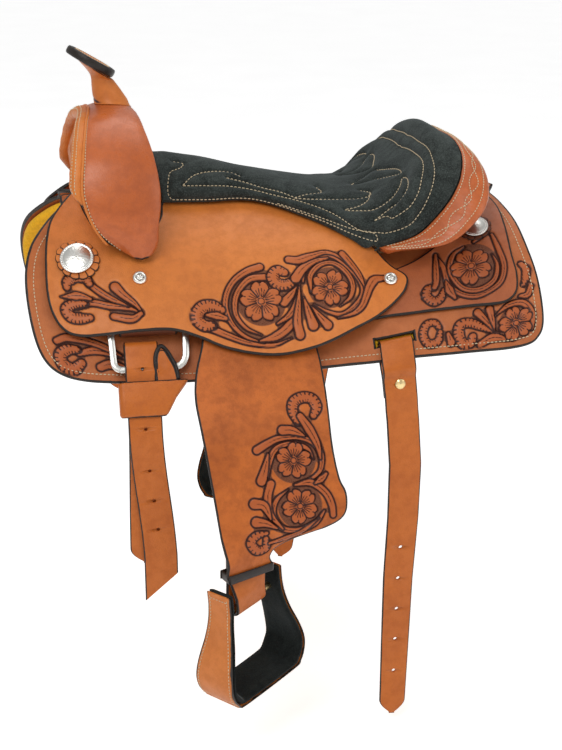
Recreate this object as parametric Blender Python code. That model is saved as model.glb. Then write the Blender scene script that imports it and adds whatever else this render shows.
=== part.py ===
"""Western pony saddle with a twelve inch seat, modelled piece by piece.

The frame: front (horn) towards -X, near side (horse's left) towards -Y, up is +Z, metres.
The origin lies on the spine line at the underside of the lining, where the saddle bears
on a horse's back or on a saddle rack.

Every sheet of leather lies on one surface, the outer face of the skirts. It is called the
barrel here. A point on it has x, the distance along the back, and d, the distance down
the side from the spine. Its section is an arc whose slope grows evenly with d.
"""
import math

import bmesh
import bpy
import numpy as np
from mathutils import Matrix, Vector

MM = 0.001

# Leather, lining and gaps
SKIRT_T = 4.5 * MM
FLEECE_T = 12.0 * MM
JOCKEY_T = 4.0 * MM
FENDER_T = 3.5 * MM
STRAP_T = 3.5 * MM
COVER_T = 3.0 * MM
GAP = 1.2 * MM
FINE_GAP = 0.5 * MM
FLEECE_INSET = 2.0 * MM

# The barrel: slope angles of its section and the rise of its spine
SECTION_DROP = 245.0 * MM
FRONT_X = -200.0 * MM
REAR_X = 220.0 * MM
FRONT_SLOPES = (28.0, 66.0)
REAR_SLOPES = (8.0, 60.0)
SEAT_LOW_X = 50.0 * MM
WITHERS_CURVE = 0.55
LOIN_CURVE = 0.40
SPINE_RISE = SKIRT_T + GAP + FLEECE_T

# The tree
BAR_T = 13.0 * MM
BAR_EDGE_T = 4.0 * MM
CANTLE_WOOD_T = 9.0 * MM
GROUND_SEAT_T = 3.0 * MM
HORN_WRAP_T = 2.5 * MM
HORN_STEM_R = 8.5 * MM
HORN_CAP_R = 28.5 * MM
HORN_CAP_T = 8.5 * MM
HORN_CAP_TILT = 30.0
HORN_CAP_MIDDLE = (-157.3, 166.3)

# Rings of the horn: front x and z, rear x and z, half width across
HORN_RINGS = [
    (-157.3, 117.5, -117.7, 117.5, 19.8), (-158.6, 126, -123.0, 125, 16.2),
    (-159.4, 136, -129.0, 134, 13.5), (-159.8, 146, -134.8, 142, 12),
    (-163.0, 153, -135.6, 143.0, 14.2), (-173.1, 165.0, -138.2, 145.0, 19)]

# The seat
PAD_T = 14.0 * MM
PAD_EDGE_T = 6.0 * MM
CHANNEL_DEPTH = 2.0 * MM
SEAT_GRID = (22, 23)
ROLL_T = 8.0 * MM

# How far the jockeys stand off the skirt over the bars and the fenders
JOCKEY_RISE = 20.5 * MM
JOCKEY_FRONT_RISE = 2.5 * MM

# Fender and stirrup
FENDER_SLOPE = 51.0
FENDER_BENDS = [(0, 51), (165, 51), (225, 74), (285, 76), (335, 95), (420, 95)]
FENDER_ROWS = (45, 90, 130, 165, 180, 195, 210, 225, 255, 285, 292.5, 300, 307.5, 315, 322.5, 330)
NECK_TURN = [(283, 0), (295, 3), (315, 21), (322.5, 25), (420, 25)]
STIRRUP_TURN = 15.0
OFF_LEAN = 12.5
FENDER_RISE = 17.0 * MM
FENDER_X = -15.0 * MM
FENDER_YAW = 0.02
NECK_X = -22.0 * MM
NECK_W = 50.0 * MM
KEEPER_H = 10.0 * MM
KEEPER_T = 2.5 * MM
LEATHER_W = 45.0 * MM
BOLT_DROP = 371.0 * MM
FENDER_STRETCH = BOLT_DROP / (371.0 * MM)
KEEPER_TOP = BOLT_DROP - 41.0 * MM
BOLT_R = 4.0 * MM
STIRRUP_ROLL = 6.0
STIRRUP_H = 123.0 * MM
STIRRUP_RISE = 25.0 * MM
STIRRUP_TOP_W = 83.0 * MM
STIRRUP_W = 119.0 * MM
STIRRUP_DEPTH = 51.0 * MM
STIRRUP_TOP_DEPTH = 31.0 * MM
STIRRUP_FRAME_T = 5.0 * MM
STIRRUP_COVER_T = 2.0 * MM

# Front rigging
DEE_X = -121.0 * MM
DEE_D = 187.0 * MM
DEE_TOP_W = 78.0 * MM
DEE_BOTTOM_W = 74.0 * MM
DEE_H = 43.0 * MM
DEE_CORNERS = (7.0 * MM, 7.0 * MM, 16.0 * MM, 9.0 * MM)
DEE_BAR_W = 7.0 * MM
DEE_BAR_T = 3.5 * MM
RIGGING_W = 60.0 * MM
LATIGO_W = 35.0 * MM
LATIGO_X = -9.0 * MM
LATIGO_WRAP_LEFT = 22.0 * MM
LATIGO_WRAP_RIGHT = (44.0 * MM, 30.0 * MM, 19.5 * MM)
LATIGO_WRAP_TOP = 14.0 * MM
LATIGO_WRAP_H = 36.0 * MM
LATIGO_BEND_FROM = 12.0 * MM
LATIGO_BEND_TO = 85.0 * MM
LATIGO_LENGTH = 243.0 * MM
LATIGO_BACK_LENGTH = 208.0 * MM
OFF_BILLET_LENGTH = 150.0 * MM
OFF_BILLET_BACK = 118.0 * MM

# Rear rigging
BILLET_X = 138.0 * MM
BILLET_W = 36.0 * MM
BILLET_LENGTH = 402.0 * MM
BILLET_EDGE_D = 241.5 * MM
BILLET_BOW = [(0, 0), (60, 6), (110, 9), (170, 7), (240, 2), (402, -4)]
OFF_BILLET_LEAN = 0.14
OFF_BILLET_CUT = 18.0 * MM
SLOT_TOP_D = 215.5 * MM
SLOT_LOW_D = 222.5 * MM
RIVET_R = 5.5 * MM
RIVET_SHANK_R = 2.0 * MM
RIVET_DROP = 19.0 * MM

# Ornaments and fasteners
CONCHO_R = 18.0 * MM
REAR_CONCHO_R = 15.0 * MM
CONCHO_RISE = 4.0 * MM
ROSETTE_R = 22.5 * MM
ROSETTE_T = 2.5 * MM
ROSETTE_LOBES = 12
SCREW_R = 7.5 * MM
SCREW_H = 3.0 * MM

# Sheet outlines on the barrel, as x and d in millimetres
SKIRT_OUTLINE = [
    (-175, 14), (-201, 42), (-220, 72), (-236, 105), (-243, 138), (-243, 172), (-238, 208),
    (-229, 231), (-214, 243), (-190, 247), (-148, 245), (-40, 238), (58, 236), (122, 240),
    (159, 243), (215, 252), (255, 260), (277, 262), (287, 258), (294, 248), (297, 228),
    (298, 190), (296, 150), (294, 112), (290, 82), (284, 48), (274, 14), (50, 8)]
FLEECE_NOTCH_D = 203.0 * MM
JOCKEY_OUTLINE = [
    (-189, 30), (-211, 66), (-219, 96), (-222, 130), (-222, 162), (-217, 184), (-207, 198),
    (-191, 203), (-162, 200), (-112, 193), (-90, 194), (-68, 201), (-45, 211), (-14, 219),
    (11, 222), (31, 221), (52, 218), (72, 213), (93, 206), (116, 197), (138, 184), (154, 171),
    (160, 159), (158, 150), (148, 139), (134, 120), (122, 108), (100, 92), (78, 72), (58, 50),
    (36, 34), (0, 26), (-50, 30), (-88, 34), (-96, 60), (-106, 80), (-116, 98), (-127, 105),
    (-142, 104), (-155, 97), (-165, 83), (-176, 55), (-181, 30)]
REAR_JOCKEY_OUTLINE = [
    (104, 188), (140, 194), (180, 198), (220, 204), (250, 210), (263, 209), (272, 201),
    (276, 182), (276, 156), (279, 117), (280, 84), (275, 55), (264, 20), (226, 20), (222, 66),
    (214, 108), (180, 130), (142, 140), (104, 146)]
BAR_OUTLINE = [
    (-165, 50), (-158, 39), (-140, 34), (130, 34), (180, 36), (202, 44), (206, 66), (202, 92),
    (186, 106), (150, 112), (20, 108), (-80, 106), (-145, 110), (-160, 102), (-167, 84)]

# Fender outline: sideways p and down q from the hanging point, in millimetres
FENDER_OUTLINE = [
    (-40, 14), (-48, 60), (-53, 92), (-62, 122), (-66, 152), (-63, 189), (-57, 241), (-52, 285),
    (-49, 318), (-47, 338), (3, 338), (3, 324), (8, 315), (21, 308), (47, 299), (70, 290),
    (80, 281), (83, 270), (82, 257), (76, 242), (71, 205), (71, 146), (69, 110), (62, 60), (50, 14)]

# The seat: its lower edge on the jockeys as x and d, and its middle line as x and z
SEAT_EDGE = [(-91, 46), (-45, 42), (10, 41), (66, 75), (102, 107), (116, 119)]
SEAT_MIDDLE = [(-96, 63), (-40, 53), (9, 41), (78, 28), (135, 27), (178, 51)]
SEAT_ROUND = [1.0, 1.0, 0.95, 0.85, 0.75, 0.65]

# Cantle curves from the middle to the front end: crest, edge of the pad, edge of the roll
CREST = [
    (206, 0, 86), (202, 58, 77), (190, 96, 58), (173, 118, 38), (157, 126, 16), (143, 129, -5),
    (126, 127, -24)]
PAD_BACK = [
    (222, 0, 83), (229, 60, 79), (230, 95, 64), (219, 121, 40), (199, 131, 13), (170, 133, -13),
    (130, 130, -26)]
ROLL_EDGE = [
    (246, 0, 70), (252, 62, 62), (255, 105, 49), (249, 136, 27), (232, 152, 5), (197, 156, -20),
    (139, 139, -29)]

# The fork: its outer and inner arch from the foot to the top, as y and z in millimetres
FORK_OUTER = [(116, -25), (120, 4), (115, 38), (97, 73), (62, 100), (30, 109), (0, 111)]
FORK_INNER = [(54, 22), (60, 38), (57, 58), (46, 73), (30, 82), (14, 86), (0, 87)]
FORK_FRONT = [-146, -169, -181, -178, -172, -167, -165]
FORK_REAR = [-113, -104, -100, -104, -111, -114, -117]
FORK_BULGE = 8.0 * MM

COLOURS = {
    "leather": (0.55, 0.20, 0.07), "dark_leather": (0.30, 0.10, 0.04),
    "suede": (0.03, 0.035, 0.035), "lining": (0.85, 0.50, 0.03), "wood": (0.60, 0.42, 0.22),
    "nickel": (0.75, 0.74, 0.70), "steel": (0.45, 0.45, 0.46), "brass": (0.72, 0.60, 0.35)}
ROUGHNESS = {"nickel": 0.2, "steel": 0.35, "brass": 0.3}


def clear_scene():
    """Remove what the start-up file holds."""
    for obj in list(bpy.data.objects):
        bpy.data.objects.remove(obj, do_unlink=True)


def material(name):
    """One Principled material for each finish."""
    found = bpy.data.materials.get(name)
    if found:
        return found
    made = bpy.data.materials.new(name)
    made.use_nodes = True
    shader = made.node_tree.nodes["Principled BSDF"]
    shader.inputs["Base Color"].default_value = (*COLOURS[name], 1.0)
    shader.inputs["Metallic"].default_value = 1.0 if name in ROUGHNESS else 0.0
    shader.inputs["Roughness"].default_value = ROUGHNESS.get(name, 0.6)
    return made


def smooth(t):
    """Smooth step from 0 to 1."""
    t = np.clip(t, 0.0, 1.0)
    return t * t * (3.0 - 2.0 * t)


def slopes(x):
    """Slope of the section at the spine and at its lower edge, in radians."""
    t = np.clip((x - FRONT_X) / (REAR_X - FRONT_X), -0.3, 1.3)
    top = FRONT_SLOPES[0] + (REAR_SLOPES[0] - FRONT_SLOPES[0]) * t
    low = FRONT_SLOPES[1] + (REAR_SLOPES[1] - FRONT_SLOPES[1]) * t
    return np.radians(top), np.radians(low)


def spine(x):
    """Height of the spine line: lowest in the seat, rising to withers and loin."""
    run = x - SEAT_LOW_X
    return np.where(run < 0.0, WITHERS_CURVE, LOIN_CURVE) * run * run


def barrel(x, d, off=0.0, side=1):
    """Points at x along the back and d down the side, off the skirt's outer face."""
    x, d, off = (np.asarray(v, float) for v in (x, d, off))
    top, low = slopes(x)
    bend = (low - top) / SECTION_DROP
    slope = top + bend * d
    y = (np.sin(slope) - np.sin(top)) / bend + off * np.sin(slope)
    z = spine(x) - (np.cos(top) - np.cos(slope)) / bend + off * np.cos(slope)
    return np.stack([x + 0.0 * y, side * y, z + SPINE_RISE], -1)


def barrel_down(x, d, side):
    """Unit vector down the side and unit normal of the barrel at one point."""
    top, low = slopes(x)
    slope = top + (low - top) / SECTION_DROP * d
    down = Vector((0.0, side * math.cos(slope), -math.sin(slope)))
    normal = Vector((0.0, side * math.sin(slope), math.cos(slope)))
    return down, normal


def over_bar(x, d):
    """1 over a bar, falling to 0 beside it."""
    along = smooth((x + 0.190) / 0.025) * smooth((0.228 - x) / 0.025)
    return along * smooth((d - 0.005) / 0.03) * smooth((0.140 - d) / 0.03)


def bar_top(x, d):
    """Height of the bar's upper face: crowned in the middle, thin at its rim."""
    crown = smooth((d - 0.034) / 0.03) * smooth((0.112 - d) / 0.03)
    crown = crown * smooth((x + 0.185) / 0.05) * smooth((0.225 - x) / 0.06)
    return GAP + BAR_EDGE_T + (BAR_T - BAR_EDGE_T) * crown


def rear_jockey_low(x, d):
    """Inner face of the rear jockey: on the skirt, and over the end of the bar."""
    return GAP + over_bar(x, d) * bar_top(x, d)


def jockey_low(x, d):
    """Inner face of the seat jockey, high over bar and fender and low at its ends."""
    front = smooth((-0.130 - x) / 0.095)
    rear = smooth((x - 0.085) / 0.055) * smooth((d - 0.095) / 0.035)
    over_rear = rear_jockey_low(x, d) + JOCKEY_T + GAP
    rise = JOCKEY_RISE + (JOCKEY_FRONT_RISE - JOCKEY_RISE) * front
    return rise + (over_rear - rise) * rear


def jockey_high(x, d):
    """Outer face of the seat jockey."""
    return jockey_low(x, d) + JOCKEY_T


def finish_mesh(name, mesh_maker, colour, round_angle=40.0):
    """Turn a bmesh into a named object with its material and smooth shading."""
    mesh = bpy.data.meshes.new(name)
    mesh_maker.to_mesh(mesh)
    mesh_maker.free()
    mesh.materials.append(material(colour))
    mesh.shade_smooth()
    mesh.set_sharp_from_angle(angle=math.radians(round_angle))
    obj = bpy.data.objects.new(name, mesh)
    bpy.context.scene.collection.objects.link(obj)
    return obj


def set_outward(bm):
    """Make the faces of a closed body point out."""
    bmesh.ops.recalc_face_normals(bm, faces=bm.faces)
    if bm.calc_volume(signed=True) < 0.0:
        bmesh.ops.reverse_faces(bm, faces=bm.faces)


def sheet(name, outline, low, high, place, colour, steps, slots=()):
    """Closed sheet between two heights over a flat outline, bent by a place function.

    The outline is filled, cut by a grid so that it can bend, and laid at both heights.
    A step is a spacing in metres, or a row of places in millimetres.
    """
    bm = bmesh.new()
    bm.faces.new([bm.verts.new((a, b, 0.0)) for a, b in outline])
    points = np.array(outline)
    least, most = points.min(0), points.max(0)
    for axis in (0, 1):
        step = steps[axis]
        if isinstance(step, float):
            first = math.floor(least[axis] / step) + 1
            places = [index * step for index in range(first, math.ceil(most[axis] / step))]
        else:
            places = [value * MM for value in step]
        for place_at in places:
            spot, way = [0.0] * 3, [0.0] * 3
            spot[axis], way[axis] = place_at, 1.0
            everything = bm.verts[:] + bm.edges[:] + bm.faces[:]
            bmesh.ops.bisect_plane(bm, geom=everything, plane_co=spot, plane_no=way, dist=1e-5)
    for box in slots:
        cut_slot(bm, box)
    bottom_faces = bm.faces[:]
    made = bmesh.ops.extrude_face_region(bm, geom=bottom_faces, use_keep_orig=True)
    top_verts = {item for item in made["geom"] if isinstance(item, bmesh.types.BMVert)}
    for vert in bm.verts:
        height = high if vert in top_verts else low
        vert.co = place(vert.co.x, vert.co.y, height)
    set_outward(bm)
    return finish_mesh(name, bm, colour)


def cut_slot(bm, box):
    """Open a rectangular slot in a flat sheet: left, right, top and bottom."""
    left, right, near, far = box
    for axis, value in ((0, left), (0, right), (1, near), (1, far)):
        faces = []
        for face in bm.faces:
            xs = [v.co.x for v in face.verts]
            ys = [v.co.y for v in face.verts]
            if max(xs) > left and min(xs) < right and max(ys) > near and min(ys) < far:
                faces.append(face)
        edges = {edge for face in faces for edge in face.edges}
        verts = {vert for face in faces for vert in face.verts}
        spot, way = [0.0] * 3, [0.0] * 3
        spot[axis], way[axis] = value, 1.0
        geom = list(verts) + list(edges) + faces
        bmesh.ops.bisect_plane(bm, geom=geom, plane_co=spot, plane_no=way, dist=1e-6)
    inside = []
    for face in bm.faces:
        middle = face.calc_center_median()
        if left < middle.x < right and near < middle.y < far:
            inside.append(face)
    bmesh.ops.delete(bm, geom=inside, context="FACES")


def on_barrel(side):
    """Place function for a sheet on the barrel, whose heights are functions of x and d."""
    def place(x, d, height):
        off = height(x, d) if callable(height) else height
        return barrel(x, d, off, side)
    return place


def millimetres(points):
    """Points given in millimetres, in metres."""
    return [tuple(value * MM for value in point) for point in points]


def loft(name, rings, colour, closed=False, round_angle=40.0):
    """Closed body through a row of rings that have equally many points."""
    bm = bmesh.new()
    rows = [[bm.verts.new(point) for point in ring] for ring in rings]
    count = len(rows[0])
    pairs = list(zip(rows, rows[1:]))
    if closed:
        pairs.append((rows[-1], rows[0]))
    for first, second in pairs:
        for i in range(count):
            j = (i + 1) % count
            bm.faces.new((first[i], first[j], second[j], second[i]))
    if not closed:
        bm.faces.new(rows[0])
        bm.faces.new(rows[-1])
    set_outward(bm)
    return finish_mesh(name, bm, colour, round_angle)


def spline_at(rows, place):
    """Catmull-Rom interpolation of equal rows of points, at one place counted in rows."""
    last = len(rows) - 1
    i = min(int(place), last - 1)
    t = place - i
    before = rows[i - 1] if i > 0 else 2.0 * rows[0] - rows[1]
    after = rows[i + 2] if i + 2 <= last else 2.0 * rows[last] - rows[last - 1]
    a, b = rows[i], rows[i + 1]
    return 0.5 * (2 * a + (b - before) * t + (2 * before - 5 * a + 4 * b - after) * t ** 2
                  + (3 * a - before - 3 * b + after) * t ** 3)


def spline_rows(rows, count):
    """Rows interpolated at evenly spaced places."""
    rows = np.asarray(rows, float)
    return np.array([spline_at(rows, place) for place in np.linspace(0.0, len(rows) - 1, count)])


def lifted(points):
    """Points that were laid out from the skirt's outer face, moved to the origin used here."""
    points = np.array(points, float) * MM
    points[..., -1] += SPINE_RISE
    return points


def turned(name, profile, centre, axis, colour, count=24):
    """Body turned from a profile of radius and height, about an axis through a centre."""
    axis = Vector(axis).normalized()
    aside = axis.orthogonal().normalized()
    across = axis.cross(aside)
    rings = []
    for i in range(count):
        angle = 2.0 * math.pi * i / count
        out = aside * math.cos(angle) + across * math.sin(angle)
        rings.append((out, angle))
    bm = bmesh.new()
    columns = []
    for radius, height in profile:
        base = Vector(centre) + axis * height
        if radius == 0.0:
            columns.append([bm.verts.new(base)])
        else:
            columns.append([bm.verts.new(base + out * radius) for out, _ in rings])
    for low, high in zip(columns, columns[1:]):
        for i in range(count):
            j = (i + 1) % count
            quad = [low[i % len(low)], low[j % len(low)], high[j % len(high)], high[i % len(high)]]
            bm.faces.new(list(dict.fromkeys(quad)))
    set_outward(bm)
    return finish_mesh(name, bm, colour)


def ribbon(name, path, widths, across, thickness, colour, extra=None):
    """Flat strap: rectangular rings along a path, each across a given direction."""
    rings = []
    path = [Vector(p) for p in path]
    for i, point in enumerate(path):
        ahead = path[min(i + 1, len(path) - 1)] - path[max(i - 1, 0)]
        side = Vector(across[i] if isinstance(across, list) else across).normalized()
        side = (side - ahead * side.dot(ahead) / ahead.length_squared).normalized()
        up = side.cross(ahead).normalized()
        half = (widths[i] if isinstance(widths, list) else widths) / 2.0
        rise = (thickness[i] if isinstance(thickness, list) else thickness) / 2.0
        shift = up * (extra[i] if extra else 0.0)
        rings.append([point + side * a * half + up * b * rise + shift
                      for a, b in ((-1, -1), (1, -1), (1, 1), (-1, 1))])
    return loft(name, rings, colour, round_angle=30.0)


def cut(target, cutter):
    """Take a cutter out of a body, and leave the cutter out of the model."""
    modifier = target.modifiers.new("cut", "BOOLEAN")
    modifier.operation = "DIFFERENCE"
    modifier.solver = "EXACT"
    modifier.object = cutter
    cutter.hide_render = True
    cutter.display_type = "WIRE"


def side_name(piece, side):
    """Name of a piece on the near or off side."""
    return piece + ("_near" if side < 0 else "_off")


def make_skirts(side):
    """Skirt with its billet slot, and the lining beneath it, notched behind the slot."""
    place = on_barrel(side)
    steps = (48 * MM, 24.5 * MM)
    half = BILLET_W / 2.0 + GAP
    slot = (BILLET_X - half, BILLET_X + half, SLOT_TOP_D, SLOT_LOW_D)
    outline = millimetres(SKIRT_OUTLINE)
    sheet(side_name("skirt", side), outline, -SKIRT_T, 0.0, place, "leather", steps, [slot])
    middle = np.array(outline).mean(0)
    inner = []
    for x, d in outline:
        out = np.array([x, d]) - middle
        inset = FLEECE_INSET * np.sign(out)
        inner.append((x - inset[0], max(d - inset[1], 18 * MM)))
    notch = half + 3 * MM
    low = [p for p in inner if p[1] > 0.2]
    edge_d = np.interp([BILLET_X - notch, BILLET_X + notch], *zip(*sorted(low)))
    left, right = BILLET_X - notch, BILLET_X + notch
    notched = []
    for point, after in zip(inner, inner[1:] + inner[:1]):
        if not (left < point[0] < right and point[1] > FLEECE_NOTCH_D):
            notched.append(point)
        if point[1] > 0.2 and after[1] > 0.2 and point[0] <= left < after[0]:
            notched += [(left, float(edge_d[0])), (left, FLEECE_NOTCH_D),
                        (right, FLEECE_NOTCH_D), (right, float(edge_d[1]))]
    top = -SKIRT_T - GAP
    sheet(side_name("fleece", side), notched, top - FLEECE_T, top, place, "lining", steps)


def make_bar(side):
    """Wooden bar of the tree, between the skirt and the seat."""
    sheet(side_name("tree_bar", side), millimetres(BAR_OUTLINE), GAP, bar_top,
          on_barrel(side), "wood", (48 * MM, 24.5 * MM))


def make_jockeys(side):
    """Seat jockey with its cut-out for the swell, and rear jockey beneath its tip."""
    place = on_barrel(side)
    steps = (24 * MM, 24.5 * MM)
    sheet(side_name("jockey", side), millimetres(JOCKEY_OUTLINE), jockey_low, jockey_high,
          place, "leather", steps)

    def rear_high(x, d):
        return rear_jockey_low(x, d) + JOCKEY_T
    sheet(side_name("rear_jockey", side), millimetres(REAR_JOCKEY_OUTLINE), rear_jockey_low,
          rear_high, place, "leather", steps)


def fork_frame(h):
    """Outer point, inward direction, depth, front and rear of the fork at h from foot to foot."""
    off = np.array([(*outer, *inner, front, rear) for outer, inner, front, rear in
                    zip(FORK_OUTER, FORK_INNER, FORK_FRONT, FORK_REAR)], float) * MM
    off[:, (1, 3)] += SPINE_RISE
    near = off * np.array([-1, 1, -1, 1, 1, 1])
    rows = np.concatenate([near, off[::-1][1:]])
    row = spline_at(rows, h * (len(rows) - 1))
    outer, inner = row[0:2], row[2:4]
    inward = inner - outer
    depth = float(np.hypot(*inward))
    return outer, inward / depth, depth, row[4], row[5]


def fork_ring(h, section):
    """Ring of the fork from a section of x and depth, which may depend on the station."""
    outer, inward, depth, front, rear = fork_frame(h)
    ring = []
    for x, deep in section(front, rear, depth):
        spot = outer + inward * deep
        ring.append((x, spot[0], spot[1]))
    return ring


def swell_contour(front, rear, skin):
    """Outer contour of the swell leather at a distance inside its face."""
    middle = (front + rear) / 2.0
    half = (rear - front) / 2.0
    points = []
    for angle in np.radians([172, 150, 120, 90, 60, 30, 5]):
        x = middle + (half - skin) * math.cos(angle)
        points.append((x, skin - FORK_BULGE * math.sin(angle)))
    return points


def make_fork():
    """Fork of the tree, its swell leather, the gullet leather and the welt between them."""
    stations = np.linspace(0.0, 1.0, 25)

    def wood(front, rear, depth):
        inside = COVER_T + FINE_GAP + 0.5 * MM
        return swell_contour(front, rear, inside) + [
            (rear - 5 * MM, depth * 0.6), (rear - 9 * MM, depth), (front + 6 * MM, depth),
            (front + inside, depth * 0.6)]

    def cover(front, rear, depth):
        outer = swell_contour(front, rear, 0.0)
        inner = swell_contour(front, rear, COVER_T)
        lip = min(depth * 0.5, 16 * MM)
        return outer + [(rear, lip), (rear - COVER_T, lip)] + inner[::-1]

    feet = stations[(stations > 0.045) & (stations < 0.955)]
    loft("tree_fork", [fork_ring(h, wood) for h in feet], "wood")
    swell = loft("swell_cover", [fork_ring(h, cover) for h in stations], "leather")

    def gullet(front, rear, depth):
        back = front + COVER_T
        return [(front - 1.5 * MM, 1.0 * MM), (front - 9 * MM, 1.5 * MM), (front - 11 * MM, 6 * MM),
                (front - 9 * MM, 12 * MM), (front - COVER_T, depth + 1.5 * MM),
                (front + 4 * MM, depth + 4 * MM), (back + 24 * MM, depth + 4 * MM),
                (back + 24 * MM, depth + 1.5 * MM), (back, depth + 1.5 * MM),
                (front - 1.5 * MM, depth - 1 * MM), (front - 1.5 * MM, 6 * MM)]
    loft("gullet_cover", [fork_ring(h, gullet) for h in stations[1:-1]], "leather")

    def welt(front, rear, depth):
        x, deep, r = front - 3.2 * MM, -2.6 * MM, 2.2 * MM
        return [(x + r * math.cos(a), deep + r * math.sin(a))
                for a in np.radians([0, 72, 144, 216, 288])]
    loft("welt", [fork_ring(h, welt) for h in stations[1:-1]], "leather")
    return swell


def swell_height(x, y):
    """Height of the swell leather's face under the horn."""
    ys = [p[0] * MM for p in FORK_OUTER[::-1]]
    top = np.interp(abs(y), ys, [p[1] * MM for p in FORK_OUTER[::-1]])
    front, rear = FORK_FRONT[-1] * MM, FORK_REAR[-1] * MM
    across = np.clip((x - (front + rear) / 2.0) / ((rear - front) / 2.0), -1.0, 1.0)
    return top + FORK_BULGE * math.sqrt(1.0 - across * across) + SPINE_RISE


def horn_ring(row, inset, count=18):
    """Oval ring of the horn between its front and rear points."""
    fx, fz, rx, rz, half = [value * MM for value in row]
    front, rear = Vector((fx, 0.0, fz + SPINE_RISE)), Vector((rx, 0.0, rz + SPINE_RISE))
    middle, along = (front + rear) / 2.0, (rear - front) / 2.0
    along -= along.normalized() * inset
    across = Vector((0.0, half - inset, 0.0))
    return [middle + along * math.cos(a) + across * math.sin(a)
            for a in np.linspace(0.0, 2.0 * math.pi, count, endpoint=False)]


def make_horn(swell):
    """Horn core through the swell leather, its wrap, and the cap on top."""
    tilt = math.radians(HORN_CAP_TILT)
    cap_axis = Vector((math.sin(tilt), 0.0, math.cos(tilt)))
    cap = Vector((HORN_CAP_MIDDLE[0] * MM, 0.0, HORN_CAP_MIDDLE[1] * MM + SPINE_RISE))
    outer = [horn_ring(row, 0.0) for row in HORN_RINGS]
    inner = [horn_ring(row, HORN_WRAP_T) for row in HORN_RINGS]
    for ring in (outer[0], inner[0]):
        for point in ring:
            point.z = swell_height(point.x, point.y) + 0.9 * MM
    loft("horn_wrap", outer + inner[::-1], "leather", closed=True)
    base = Vector((-137.5 * MM, 0.0, 0.0))

    def stem(radius, z):
        return [Vector((base.x + radius * math.cos(a), radius * math.sin(a), z + SPINE_RISE))
                for a in np.linspace(0.0, 2.0 * math.pi, 18, endpoint=False)]
    wood_top = FORK_OUTER[-1][1] * MM + FORK_BULGE - COVER_T - FINE_GAP
    inset = HORN_WRAP_T + 2.4 * FINE_GAP
    core = [stem(HORN_STEM_R, wood_top), stem(HORN_STEM_R, 122 * MM)]
    core += [horn_ring(row, inset) for row in HORN_RINGS[1:]]
    loft("horn_core", core, "steel")
    hole = [stem(HORN_STEM_R + FINE_GAP, wood_top - 8 * MM), stem(HORN_STEM_R + FINE_GAP, 124 * MM)]
    cut(swell, loft("horn_hole", hole, "steel"))
    edge = HORN_CAP_T
    turned("horn_cap", [(0.0, 0.0), (HORN_CAP_R * 0.88, 0.0), (HORN_CAP_R * 0.97, 0.25 * edge),
                        (HORN_CAP_R, 0.6 * edge), (HORN_CAP_R * 0.97, 0.9 * edge),
                        (HORN_CAP_R * 0.9, edge), (0.0, edge)],
           cap - cap_axis * HORN_CAP_T, cap_axis, "leather", 28)


def half_station(edge, middle, power, count=7):
    """Half section of the seat from its middle to its edge, as a rounded dome."""
    angles = np.radians(np.linspace(0.0, 90.0, count))
    fall = np.cos(angles)[:, None] ** power
    fall[-1] = 0.0
    points = edge + (middle - edge) * fall
    points[:, 1] = edge[1] * np.sin(angles)
    return points


def seat_rows():
    """Rows of points over the seat from the swell to the back of the pad, near to off."""
    rows = []
    for (x, d), (mx, mz), power in zip(SEAT_EDGE, SEAT_MIDDLE, SEAT_ROUND):
        edge_off = float(jockey_high(x * MM, d * MM)) + GAP + PAD_EDGE_T
        edge = barrel(x * MM, d * MM, edge_off)
        middle = np.array([mx * MM, 0.0, mz * MM + SPINE_RISE])
        rows.append(half_station(edge, middle, power))
    rows.append(lifted(CREST))
    rows.append(lifted(PAD_BACK))
    full = []
    for half in rows:
        near = half[::-1] * np.array([1.0, -1.0, 1.0])
        full.append(np.concatenate([near[:-1], half]))
    return full


def seat_grid(count_u, count_v):
    """Smooth grid over the seat, its upward normals, and u and v for each point."""
    rows = spline_rows(seat_rows(), count_u)
    grid = np.array([spline_rows(row, count_v) for row in rows])
    along = np.gradient(grid, axis=0)
    across = np.gradient(grid, axis=1)
    normal = np.cross(along, across)
    normal /= np.linalg.norm(normal, axis=2, keepdims=True)
    return grid, normal


def channel(grid):
    """Depth of the sewn channels: a border and two ovals round the seat."""
    x, y = grid[..., 0], grid[..., 1]
    depth = np.zeros(x.shape)
    for cx, rx, ry in ((0.125, 0.075, 0.088), (0.145, 0.036, 0.052)):
        ring = np.sqrt(((x - cx) / rx) ** 2 + (y / ry) ** 2)
        miss = (ring - 1.0) * min(rx, ry)
        depth = np.maximum(depth, np.exp(-(miss / (5 * MM)) ** 2))
    return depth * CHANNEL_DEPTH


def shell_between(name, top, bottom, colour):
    """Closed body between two grids of points of the same size."""
    bm = bmesh.new()
    rows, columns = top.shape[:2]
    upper = [[bm.verts.new(top[i, j]) for j in range(columns)] for i in range(rows)]
    lower = [[bm.verts.new(bottom[i, j]) for j in range(columns)] for i in range(rows)]
    for i in range(rows - 1):
        for j in range(columns - 1):
            bm.faces.new((upper[i][j], upper[i][j + 1], upper[i + 1][j + 1], upper[i + 1][j]))
            bm.faces.new((lower[i][j], lower[i + 1][j], lower[i + 1][j + 1], lower[i][j + 1]))
    for i in range(rows - 1):
        for j in (0, columns - 1):
            bm.faces.new((upper[i][j], upper[i + 1][j], lower[i + 1][j], lower[i][j]))
    for j in range(columns - 1):
        for i in (0, rows - 1):
            bm.faces.new((upper[i][j], upper[i][j + 1], lower[i][j + 1], lower[i][j]))
    set_outward(bm)
    return finish_mesh(name, bm, colour)


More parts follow.
